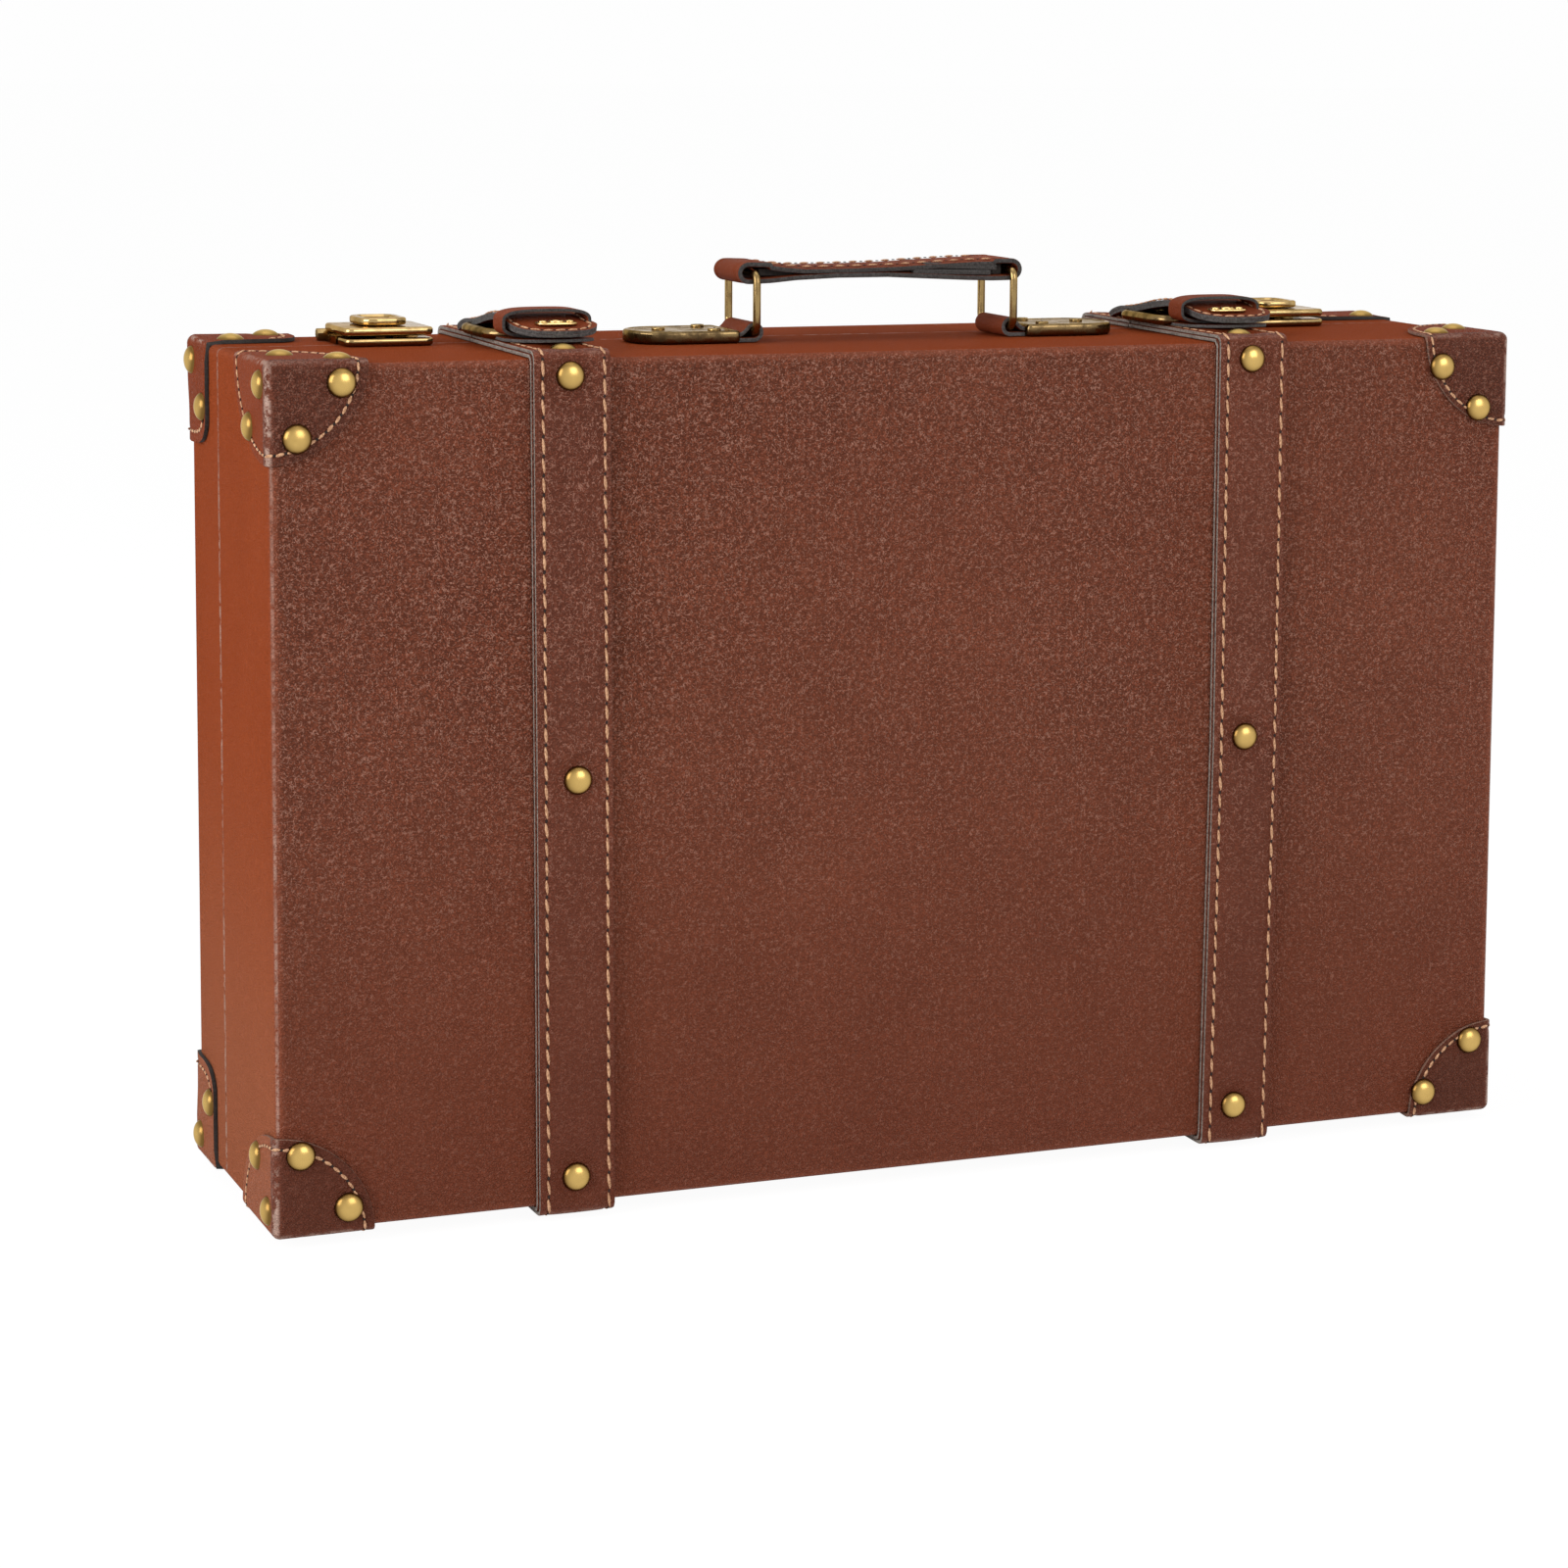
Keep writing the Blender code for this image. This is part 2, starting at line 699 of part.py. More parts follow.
def make_layer(name, strap_x, leather):
    """The thin lower layer, forked at its back for the prong and holed for the magnet."""
    bm = bmesh.new()
    line = layer_line()
    start = frame_back_from_front - frame_bar_width - prong_eye_wall
    middles = add_strip(bm, line, start, layer_tip_from_front, layer_width, layer_thickness,
                        layer_tip_radius, strap_x)
    item = add_object(name, bm, leather, flap_origin(strap_x))
    fork = bmesh.new()
    fork_end = (frame_front_from_front + frame_back_from_front) / 2 + prong_width
    add_box(fork, (strap_x - tail_slot_width / 2, from_front(fork_end), above_top(strap_top)),
            (strap_x + tail_slot_width / 2, from_front(frame_back_from_front), above_top(tail_peak)))
    cut(item, name + "_fork", fork)
    hole = bmesh.new()
    height = height_along(middles, magnet_from_front)
    add_cylinder(hole, (strap_x, from_front(magnet_from_front), above_top(height)),
                 magnet_radius + fit_gap, 4 * layer_thickness, "Z")
    cut(item, name + "_magnet_hole", hole)
    return item


def make_magnet(name, strap_x, steel):
    """A disc magnet that fills the layer's hole."""
    height = height_along(layer_line(), magnet_from_front)
    bm = bmesh.new()
    add_cylinder(bm, (strap_x, from_front(magnet_from_front), above_top(height)), magnet_radius,
                 layer_thickness, "Z")
    return add_object(name, bm, steel, flap_origin(strap_x))


def make_frame(name, strap_x, brass):
    """The buckle's frame: a flat ring with round corners, rising to the front, notched for the eye."""
    bm = bmesh.new()
    centre = (strap_x, from_front(frame_back_from_front - frame_length / 2))
    outline = rounded_rectangle(centre, frame_width, frame_length, frame_corner_radius)
    add_prism(bm, outline, above_top(frame_low), above_top(frame_low + frame_bar_height), "Z")
    item = add_object(name, bm, brass, flap_origin(strap_x))
    opening = bmesh.new()
    inner_radius = frame_corner_radius - frame_bar_width
    inner = rounded_rectangle(centre, frame_width - 2 * frame_bar_width,
                              frame_length - 2 * frame_bar_width, inner_radius, edge_steps)
    add_prism(opening, inner, above_top(frame_low - cut_overrun),
              above_top(frame_low + frame_bar_height + cut_overrun), "Z")
    cut(item, name + "_opening", opening)
    back = from_front(frame_back_from_front)
    notch = bmesh.new()
    notch_top = frame_low + prong_eye_wall + fit_gap
    add_box(notch, (strap_x - prong_width / 2 - fit_gap, back - frame_bar_width - cut_overrun,
                    above_top(frame_low - cut_overrun)),
            (strap_x + prong_width / 2 + fit_gap, back + cut_overrun, above_top(notch_top)))
    cut(item, name + "_notch", notch)
    tilt = item.data
    for vert in tilt.vertices:
        vert.co.z += (frame_back_from_front - roll_from_front - vert.co.y) * frame_slope
    soften(item, prong_eye_wall / 2)
    return item


def make_prong(name, strap_x, brass):
    """The prong: an eye round the back bar, and a rod under the tail that rests on the front bar."""
    eye_back = frame_back_from_front + fit_gap + prong_eye_wall
    eye_front = frame_back_from_front - frame_bar_width - fit_gap - prong_eye_wall
    eye_top = frame_low + frame_bar_height + 2 * fit_gap + prong_eye_wall
    rod_back = eye_front - prong_width
    rod_back_top = height_along(tail_line(), rod_back) - tail_thickness / 2 - 2 * fit_gap
    rest_from = frame_front_from_front + frame_bar_width
    tip = frame_front_from_front - prong_overhang
    outline = [(tip, prong_base), (rest_from, prong_base), (rod_back, rod_back_top - prong_height),
               (eye_front, frame_low), (eye_back, frame_low), (eye_back, eye_top), (eye_front, eye_top),
               (rod_back, rod_back_top), (rest_from, prong_base + prong_height),
               (tip, prong_base + prong_height)]
    points = [(from_front(distance), above_top(height)) for distance, height in outline]
    bm = bmesh.new()
    add_prism(bm, points, strap_x - prong_width / 2, strap_x + prong_width / 2, "X")
    item = add_object(name, bm, brass, flap_origin(strap_x))
    eye = bmesh.new()
    add_box(eye, (strap_x - prong_width, from_front(eye_front + prong_eye_wall),
                  above_top(frame_low + prong_eye_wall)),
            (strap_x + prong_width, from_front(eye_back - prong_eye_wall),
             above_top(eye_top - prong_eye_wall)))
    cut(item, name + "_eye", eye)
    return item


def superellipse(centre, half_width, half_height, roundness, count=round_segments):
    """Points of a rounded loop, squarer as the roundness grows."""
    points = []
    for step in range(count):
        angle = math.tau * step / count
        across = math.copysign(abs(math.cos(angle)) ** (2 / roundness), math.cos(angle))
        up = math.copysign(abs(math.sin(angle)) ** (2 / roundness), math.sin(angle))
        points.append((centre[0] + half_width * across, centre[1] + half_height * up))
    return points


def make_keeper(name, strap_x, leather):
    """The keeper loop: a closed band round the tail, sewn down on the layer."""
    near = keeper_from_front - keeper_width / 2
    far = keeper_from_front + keeper_width / 2
    base = height_along(layer_line(), near) + layer_thickness / 2 + fit_gap
    centre = (strap_x + tail_side_shift, above_top(base + keeper_height / 2))
    bm = bmesh.new()
    outer = superellipse(centre, keeper_outer_width / 2, keeper_height / 2, keeper_roundness)
    add_prism(bm, outer, from_front(near), from_front(far), "Y")
    item = add_object(name, bm, leather, flap_origin(strap_x))
    hole = bmesh.new()
    inner = superellipse(centre, keeper_outer_width / 2 - keeper_wall, keeper_height / 2 - keeper_wall,
                         keeper_roundness)
    add_prism(hole, inner, from_front(near - cut_overrun), from_front(far + cut_overrun), "Y")
    cut(item, name + "_hole", hole)
    return item


def make_eyelet(name, strap_x, brass):
    """The oval eyelet plate on the tail's tip, lying along its slope, with a round hole."""
    line = tail_line()
    reach = eyelet_width / 2
    ahead = height_along(line, eyelet_from_front - reach)
    behind = height_along(line, eyelet_from_front + reach)
    slope = math.atan2(behind - ahead, 2 * reach)
    lift = tail_thickness / 2 + 2 * fit_gap
    centre = Vector((strap_x + tail_side_shift, from_front(eyelet_from_front),
                     above_top((ahead + behind) / 2 + lift / math.cos(slope))))
    place = Matrix.Translation(centre) @ Matrix.Rotation(slope, 4, "X")
    straight = eyelet_length - eyelet_width
    outline = rounded_rectangle((0, 0), straight + eyelet_width, eyelet_width,
                                eyelet_width / 2 - fit_gap)
    bm = bmesh.new()
    add_prism(bm, outline, 0, eyelet_thickness, "Z")
    bmesh.ops.transform(bm, matrix=place, verts=bm.verts)
    item = add_object(name, bm, brass, flap_origin(strap_x))
    hole = bmesh.new()
    add_cylinder(hole, (0, 0, 0), eyelet_hole_radius, 4 * eyelet_thickness, "Z")
    bmesh.ops.transform(hole, matrix=place, verts=hole.verts)
    cut(item, name + "_hole", hole)
    return item


def make_striker(name, strap_item, strap_x, steel):
    """A steel disc let into the base strap under the magnet."""
    centre_y = from_front(magnet_from_front)
    bm = bmesh.new()
    add_cylinder(bm, (strap_x, centre_y, above_top(strap_top - striker_thickness / 2)), magnet_radius,
                 striker_thickness, "Z")
    add_object(name, bm, steel)
    pocket = bmesh.new()
    depth = striker_thickness + fit_gap
    add_cylinder(pocket, (strap_x, centre_y, above_top(strap_top + (cut_overrun - depth) / 2)),
                 magnet_radius + fit_gap, depth + cut_overrun, "Z")
    cut(strap_item, name + "_pocket", pocket)


# Latches

latch_plate_top = fit_gap + latch_plate_height
hasp_low = latch_plate_top + latch_gap
hasp_top = hasp_low + hasp_height
latch_pivot_height = latch_plate_top - latch_pivot_drop
latch_plate_back = latch_pivot_from_front - latch_barrel_radius - fit_gap


def latch_origin(latch_x):
    return Vector((latch_x, from_front(latch_pivot_from_front), above_top(latch_pivot_height)))


def placed(outline):
    """Turns distances from the front and heights above the top into places."""
    return [(from_front(distance), above_top(height)) for distance, height in outline]


def make_front_plate(name, latch_x, brass):
    """The plate on the base that the hasp closes over."""
    bm = bmesh.new()
    add_box(bm, (latch_x - latch_width / 2, from_front(latch_front_from_front), above_top(fit_gap)),
            (latch_x + latch_width / 2, base_rim_y - latch_plate_setback, above_top(latch_plate_top)))
    soften(add_object(name, bm, brass), latch_edge_radius, 2)


def make_rear_leaf(name, latch_x, brass):
    """The leaf on the lid, with an ear at each side of the hasp's knuckle."""
    pivot = (latch_pivot_from_front, latch_pivot_height)
    start = lid_rim_y - front_y + latch_plate_setback
    outline = [(start, fit_gap), (pivot[0], fit_gap)]
    outline += arc(pivot, latch_barrel_radius, -90, 120)
    outline += [(latch_plate_back, latch_plate_top), (start, latch_plate_top)]
    reach = latch_width / 2 + latch_ear_overhang
    bm = bmesh.new()
    add_prism(bm, placed(outline), latch_x - reach, latch_x + reach, "X")
    item = add_object(name, bm, brass)
    half = latch_knuckle_width / 2 + fit_gap
    low = above_top(fit_gap - cut_overrun)
    high = above_top(hasp_top)
    trims = bmesh.new()
    for side in (-1, 1):
        edges = sorted((latch_x + side * latch_width / 2, latch_x + side * (reach + cut_overrun)))
        add_box(trims, (edges[0], from_front(start - cut_overrun), low),
                (edges[1], from_front(latch_plate_back), high))
    add_box(trims, (latch_x - half, from_front(latch_plate_back), low),
            (latch_x + half, from_front(pivot[0] + latch_barrel_radius + cut_overrun), high))
    cut(item, name + "_trims", trims)
    bore = bmesh.new()
    add_cylinder(bore, latch_origin(latch_x), latch_pin_radius + fit_gap, 2 * (reach + cut_overrun), "X")
    cut(item, name + "_bore", bore)


def make_hasp(name, latch_x, brass):
    """The hasp: a plate over both others, with a knuckle on the pin and a hole for the knob."""
    pivot = (latch_pivot_from_front, latch_pivot_height)
    outline = [(latch_front_from_front, hasp_low), (pivot[0] - latch_barrel_radius, hasp_low)]
    outline += arc(pivot, latch_barrel_radius, 180, 380)
    outline += [(pivot[0], hasp_top), (latch_front_from_front, hasp_top)]
    half = latch_width / 2
    bm = bmesh.new()
    add_prism(bm, placed(outline), latch_x - half, latch_x + half, "X")
    item = add_object(name, bm, brass, latch_origin(latch_x))
    trims = bmesh.new()
    for side in (-1, 1):
        edges = sorted((latch_x + side * latch_knuckle_width / 2, latch_x + side * (half + cut_overrun)))
        add_box(trims, (edges[0], from_front(latch_plate_back - fit_gap), above_top(fit_gap)),
                (edges[1], from_front(pivot[0] + latch_barrel_radius + cut_overrun),
                 above_top(hasp_top + cut_overrun)))
    cut(item, name + "_trims", trims)
    bores = bmesh.new()
    add_cylinder(bores, latch_origin(latch_x), latch_pin_radius + fit_gap, latch_width, "X")
    add_cylinder(bores, (latch_x, from_front(knob_from_front), above_top(hasp_low)),
                 spindle_radius + fit_gap, 4 * hasp_height, "Z")
    cut(item, name + "_bores", bores)


def make_knob(name, latch_x, brass):
    """The turning knob: an oval button, its spindle and the cam under the hasp."""
    origin = Vector((latch_x, from_front(knob_from_front), above_top(hasp_top)))
    low = hasp_top + fit_gap
    outline = rounded_rectangle((latch_x, origin.y), knob_width, knob_length, knob_corner_radius)
    bm = bmesh.new()
    add_prism(bm, outline, above_top(low), above_top(low + knob_height), "Z")
    item = add_object(name, bm, brass, origin)
    soften(item, latch_edge_radius, 2)
    cam_top = hasp_low - fit_gap
    spindle = bmesh.new()
    spindle_low = above_top(cam_top - cam_thickness)
    spindle_high = above_top(low + knob_height / 2)
    add_cylinder(spindle, (latch_x, origin.y, (spindle_low + spindle_high) / 2), spindle_radius,
                 spindle_high - spindle_low, "Z")
    join(item, name + "_spindle", spindle)
    cam = bmesh.new()
    add_box(cam, (latch_x - cam_width / 2, origin.y - cam_length, above_top(cam_top - cam_thickness)),
            (latch_x + cam_width / 2, origin.y, above_top(cam_top)))
    join(item, name + "_cam", cam)


def make_latch_pin(name, latch_x, brass):
    bm = bmesh.new()
    add_cylinder(bm, latch_origin(latch_x), latch_pin_radius, latch_width + 2 * latch_ear_overhang, "X",
                 round_segments // 2)
    add_object(name, bm, brass)


# Handle

plate_top = fit_gap + plate_height
pocket_top = 2 * tab_thickness + 3 * fit_gap
grip_height = ring_pivot_height + ring_height


def pivot_x(side):
    return handle_shift + side * ring_spacing / 2


def make_ring(name, side, bronze):
    """A wire bent into a rectangle, through the tab's loop below and the grip's loop above."""
    origin = Vector((pivot_x(side), 0, above_top(ring_pivot_height)))
    path = rounded_rectangle((0, ring_height / 2), ring_width, ring_height, ring_corner_radius, edge_steps)
    curve = bpy.data.curves.new(name, "CURVE")
    curve.dimensions = "3D"
    curve.bevel_depth = ring_wire_radius
    curve.bevel_resolution = wire_resolution
    spline = curve.splines.new("POLY")
    spline.points.add(len(path) - 1)
    for point, (across, up) in zip(spline.points, path):
        point.co = (0, across, up, 1)
    spline.use_cyclic_u = True
    curve.materials.append(bronze)
    item = bpy.data.objects.new(name, curve)
    item.location = origin
    bpy.context.collection.objects.link(item)


def make_tab(name, side, leather):
    """A leather tab: a strip folded round a ring's lower bar, both ends in its plate."""
    low = fit_gap + tab_thickness / 2
    high = low + tab_thickness + fit_gap
    end = plate_setback + plate_pocket_length - fit_gap
    fold_radius = ring_pivot_height - low
    path = [(end, low)] + arc((0, ring_pivot_height), fold_radius, 270, 30, 2 * curve_steps)
    path += [(plate_setback - tab_thickness * 3 / 4, high), (end, high)]
    outline = [(pivot_x(side) + side * out, above_top(height))
               for out, height in band_outline(path, tab_thickness)]
    bm = bmesh.new()
    add_prism(bm, outline, -tab_width / 2, tab_width / 2, "Y")
    add_object(name, bm, leather)


def make_plate(name, side, bronze):
    """A holder plate: flat where the tab comes out, round at its far end, with its screw heads."""
    reach = plate_length - plate_width / 2
    outline = [(plate_setback, -plate_width / 2)]
    outline += arc((plate_setback + reach, 0), plate_width / 2, -90, 90, 2 * curve_steps)
    outline.append((plate_setback, plate_width / 2))
    points = [(pivot_x(side) + side * out, across) for out, across in outline]
    bm = bmesh.new()
    add_prism(bm, points, above_top(fit_gap), above_top(plate_top), "Z")
    item = add_object(name, bm, bronze)
    soften(item, plate_edge_radius, 2)
    pocket = bmesh.new()
    ends = sorted((pivot_x(side) + side * (plate_setback - cut_overrun),
                   pivot_x(side) + side * (plate_setback + plate_pocket_length)))
    half = tab_width / 2 + fit_gap
    add_box(pocket, (ends[0], -half, above_top(-cut_overrun)), (ends[1], half, above_top(pocket_top)))
    cut(item, name + "_pocket", pocket)
    near = plate_setback + screw_from_flat / 3
    places = ((plate_setback + screw_from_flat, 0), (near, screw_spread), (near, -screw_spread))
    screws = bmesh.new()
    for out, across in places:
        add_cylinder(screws, (pivot_x(side) + side * out, across, above_top(plate_top)), screw_radius,
                     2 * screw_height, "Z", round_segments // 2)
    join(item, name + "_screws", screws)


def grip_side(direction):
    """One side of the grip's outline between its loops: full at the loops, slim at the waist."""
    points = []
    count = 4 * curve_steps
    for step in range(count + 1):
        place = ring_spacing * (step / count - 0.5)
        from_loop = min(1, (ring_spacing / 2 - abs(place)) / (ring_spacing * grip_shoulder_share))
        blend = (1 - math.cos(math.pi * from_loop)) / 2
        half = grip_loop_radius + (grip_waist_thickness / 2 - grip_loop_radius) * blend
        points.append((place, direction * half - grip_waist_drop * blend))
    return points


def make_grip(name, leather):
    """The leather grip: a layered strip with a loop at each end that a ring's upper bar fills."""
    centre = Vector((handle_shift, 0, above_top(grip_height)))
    ends = ring_spacing / 2
    outline = arc((ends, 0), grip_loop_radius, -90, 90)[1:-1] + grip_side(1)[::-1]
    outline += arc((-ends, 0), grip_loop_radius, 90, 270)[1:-1] + grip_side(-1)
    points = [(centre.x + across, centre.z + up) for across, up in outline]
    bm = bmesh.new()
    add_prism(bm, points, -grip_width / 2, grip_width / 2, "Y")
    origin = Vector((pivot_x(-1), 0, above_top(grip_height)))
    item = add_object(name, bm, leather, origin)
    holes = bmesh.new()
    for _, side in sides:
        tear = [(side * (ends - ring_spacing * grip_shoulder_share), -grip_waist_drop)]
        start = 120 if side > 0 else 60
        tear += [(side * ends + x, y) for x, y in arc((0, 0), grip_hole_radius, start,
                                                     start - side * 240, 2 * curve_steps)]
        add_prism(holes, [(centre.x + x, centre.z + y) for x, y in tear],
                  -grip_width / 2 - cut_overrun, grip_width / 2 + cut_overrun, "Y")
    cut(item, name + "_loops", holes)


# Hinges under the case

hinge_barrel_radius = hinge_pin_radius + fit_gap + hinge_leaf_thickness
hinge_drop = fit_gap + hinge_barrel_radius


def make_hinge_leaf(name, centre_x, facing, steel):
    """One side's leaf: a plate under the case whose knuckles curl round the pin."""
    middle = hinge_pin_radius + fit_gap + hinge_leaf_thickness / 2
    axis = (parting_y, bottom_z - hinge_drop)
    curl = [(axis[0] + facing * x, axis[1] + y) for x, y in arc((0, 0), middle, 90, 350, 2 * curve_steps)]
    path = [(parting_y + facing * hinge_leaf_length, axis[1] + middle)] + curl
    bm = bmesh.new()
    add_prism(bm, band_outline(path, hinge_leaf_thickness), centre_x - hinge_width / 2,
              centre_x + hinge_width / 2, "X")
    item = add_object(name, bm, steel)
    reach = hinge_barrel_radius + fit_gap
    near, far = sorted((axis[0] + facing * reach, axis[0] - facing * (reach + cut_overrun)))
    low = axis[1] - hinge_barrel_radius - cut_overrun
    half = hinge_knuckle_width / 2
    outer = hinge_width / 2 + cut_overrun
    notches = bmesh.new()
    if facing < 0:
        add_box(notches, (centre_x - half - fit_gap, near, low), (centre_x + half + fit_gap, far, bottom_z))
    else:
        add_box(notches, (centre_x - outer, near, low), (centre_x - half, far, bottom_z))
        add_box(notches, (centre_x + half, near, low), (centre_x + outer, far, bottom_z))
    cut(item, name + "_notches", notches)


def make_hinge_pin(name, centre_x, steel):
    bm = bmesh.new()
    add_cylinder(bm, (centre_x, parting_y, bottom_z - hinge_drop), hinge_pin_radius, hinge_width, "X",
                 round_segments // 2)
    add_object(name, bm, steel)


# Assembly

def build_case(materials):
    for prefix, panel_name, depth, facing in (("base", "base_front_board", base_depth, -1),
                                              ("lid", "lid_back_board", lid_depth, 1)):
        make_covering(prefix + "_covering", depth, facing, materials["cover"])
        make_boards(prefix, panel_name, depth, facing, materials["wood"])
        make_lining(prefix + "_lining", depth, facing, materials["lining"])


def build_protectors(materials):
    for prefix, facing in (("base", -1), ("lid", 1)):
        for side_name, side in sides:
            for up_name, up in (("top", 1), ("bottom", -1)):
                make_protector(f"{prefix}_protector_{up_name}_{side_name}", side, facing, up,
                               materials["trim"])


def build_straps(materials):
    for side_name, side in sides:
        strap_x = side * strap_spacing / 2
        make_strap("lid_strap_" + side_name, strap_x, 1, materials["trim"])
        item = make_strap("base_strap_" + side_name, strap_x, -1, materials["trim"])
        make_striker("closure_striker_" + side_name, item, strap_x, materials["steel"])


def build_closures(materials):
    for side_name, side in sides:
        strap_x = side * strap_spacing / 2
        make_tail("strap_tail_" + side_name, strap_x, materials["trim"])
        make_layer("flap_layer_" + side_name, strap_x, materials["trim"])
        make_magnet("closure_magnet_" + side_name, strap_x, materials["steel"])
        make_frame("buckle_frame_" + side_name, strap_x, materials["bronze"])
        make_prong("buckle_prong_" + side_name, strap_x, materials["bronze"])
        make_keeper("keeper_loop_" + side_name, strap_x, materials["trim"])
        make_eyelet("eyelet_plate_" + side_name, strap_x, materials["brass"])


def build_latches(materials):
    for side_name, side in sides:
        latch_x = side * latch_spacing / 2
        make_front_plate("latch_front_plate_" + side_name, latch_x, materials["brass"])
        make_rear_leaf("latch_rear_leaf_" + side_name, latch_x, materials["brass"])
        make_hasp("latch_hasp_" + side_name, latch_x, materials["brass"])
        make_knob("latch_knob_" + side_name, latch_x, materials["brass"])
        make_latch_pin("latch_pin_" + side_name, latch_x, materials["steel"])


def build_handle(materials):
    for side_name, side in sides:
        make_ring("handle_ring_" + side_name, side, materials["bronze"])
        make_plate("handle_plate_" + side_name, side, materials["bronze"])
        make_tab("handle_tab_" + side_name, side, materials["trim"])
    make_grip("handle_grip", materials["trim"])


def build_hinges(materials):
    for side_name, side in sides:
        centre_x = side * hinge_spacing / 2
        make_hinge_leaf("hinge_base_leaf_" + side_name, centre_x, -1, materials["steel"])
        make_hinge_leaf("hinge_lid_leaf_" + side_name, centre_x, 1, materials["steel"])
        make_hinge_pin("hinge_pin_" + side_name, centre_x, materials["steel"])


def build_trunk():
    clear_scene()
    materials = {
        "cover": make_material("Brown leather", (0.165, 0.050, 0.032), 0.55),
        "trim": make_material("Dark leather", (0.110, 0.036, 0.025), 0.50),
        "wood": make_material("Plywood", (0.480, 0.310, 0.160), 0.70),
        "lining": make_material("Lining cloth", (0.300, 0.220, 0.140), 0.90),
        "brass": make_material("Antique brass", (0.520, 0.380, 0.140), 0.35, 1.0),
        "bronze": make_material("Antique bronze", (0.280, 0.200, 0.090), 0.40, 1.0),
        "steel": make_material("Plated steel", (0.450, 0.430, 0.400), 0.40, 1.0),
    }
    build_case(materials)
    build_protectors(materials)
    build_straps(materials)
    build_closures(materials)
    build_latches(materials)
    build_handle(materials)
    build_hinges(materials)


build_trunk()
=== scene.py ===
# %% [markdown]
# # A leather suitcase trunk, dressed for a studio picture
# The solids of the trunk are already made and packed, and they are the fixed frame here. This
# lesson gives them leather, thread and brass, and swaps the plain solids for pieces with stitches,
# layered edges and soft folds. Each step first says what the real piece is and why it is made this
# way. All lengths are in metres.

# %% Load the frame
import math
import random

import bmesh
import bpy
from mathutils import Matrix, Vector


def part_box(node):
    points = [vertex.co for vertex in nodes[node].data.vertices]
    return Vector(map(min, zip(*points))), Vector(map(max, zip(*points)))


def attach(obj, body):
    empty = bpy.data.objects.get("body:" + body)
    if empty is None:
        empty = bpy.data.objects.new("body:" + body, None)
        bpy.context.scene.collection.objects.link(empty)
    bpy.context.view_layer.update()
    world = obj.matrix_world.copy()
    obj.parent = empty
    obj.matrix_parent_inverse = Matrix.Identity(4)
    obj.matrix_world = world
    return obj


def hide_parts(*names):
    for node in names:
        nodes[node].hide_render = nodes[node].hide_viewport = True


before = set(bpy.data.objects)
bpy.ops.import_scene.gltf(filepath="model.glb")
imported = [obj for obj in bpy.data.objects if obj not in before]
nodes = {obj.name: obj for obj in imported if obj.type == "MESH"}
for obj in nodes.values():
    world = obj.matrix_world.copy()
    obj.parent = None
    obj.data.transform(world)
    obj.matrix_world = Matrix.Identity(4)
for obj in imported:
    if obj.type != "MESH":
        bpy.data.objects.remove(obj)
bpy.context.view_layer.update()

# %% [markdown]
# ## Where the case's faces are
# Everything is placed from a few faces of the frame, so that a piece made here sits on what carries
# it. Lengths "from front" start at the front panel, and heights "above top" at the top face.

# %% Faces and edges of the case
base_low, base_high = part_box("base_covering")
lid_low, lid_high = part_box("lid_covering")
half_length = base_high.x
front_y, back_y = base_low.y, lid_high.y
parting_y = (base_high.y + lid_low.y) / 2
bottom_z, top_z = base_low.z, base_high.z
sides = (("left", -1), ("right", 1))
strap_x = 0.1655
latch_x = 0.2255


def from_front(distance):
    return front_y + distance


def above_top(height):
    return top_z + height


case_size = (2 * half_length, back_y - front_y, top_z - bottom_z)
print("case", [round(value, 4) for value in case_size])

# %% [markdown]
# ## The camera
# The photograph looks at the trunk's front from the left and a little above. A long lens from about
# two metres keeps the case's edges nearly parallel, and the lens is shifted so that the trunk sits
# left of the middle and above it, without tilting the upright edges.

# %% Camera
scene = bpy.context.scene
camera_data = bpy.data.cameras.new("Camera")
camera = bpy.data.objects.new("Camera", camera_data)
scene.collection.objects.link(camera)
camera_data.lens = 93.35
camera_data.sensor_width = 36
camera_data.shift_x, camera_data.shift_y = -0.12375, -0.175
camera_data.clip_end = 50
camera_place = (-0.69754, -1.7658, 0.5310)
camera_back = Vector((-0.39094, -0.91273, 0.11872))
camera_right = Vector((0.91967, -0.39255, 0.01047))
camera_up = camera_back.cross(camera_right).normalized()
camera_right = camera_up.cross(camera_back).normalized()
camera_turn = Matrix((camera_right, camera_up, camera_back.normalized())).transposed()
camera.matrix_world = Matrix.Translation(camera_place) @ camera_turn.to_4x4()
scene.camera = camera
print("camera at", [round(value, 3) for value in camera.location])

# %% [markdown]
# ## The studio
# The picture is a catalogue shot: everything round the trunk is white, with hardly a shadow. The
# floor is pale and catches only a soft one. The sky is plain white where the camera or a mirror
# sees it, and dimmer as a light, so that white paper doesn't burn out the leather.

# %% Floor paper and sky
scene.view_settings.view_transform = "Standard"
floor_grey = 0.92
floor_glow = 1.06
glow_share = 0.90
sky_light = 0.36
sky_seen = 0.99


def seen_directly(tree):
    """1 for camera, mirrored and refracted rays, so metal and glass show the background too."""
    path = tree.nodes.new("ShaderNodeLightPath")
    total = path.outputs["Is Camera Ray"]
    for name in ("Is Glossy Ray", "Is Transmission Ray"):
        most = tree.nodes.new("ShaderNodeMath")
        most.operation = "MAXIMUM"
        tree.links.new(total, most.inputs[0])
        tree.links.new(path.outputs[name], most.inputs[1])
        total = most.outputs[0]
    return total


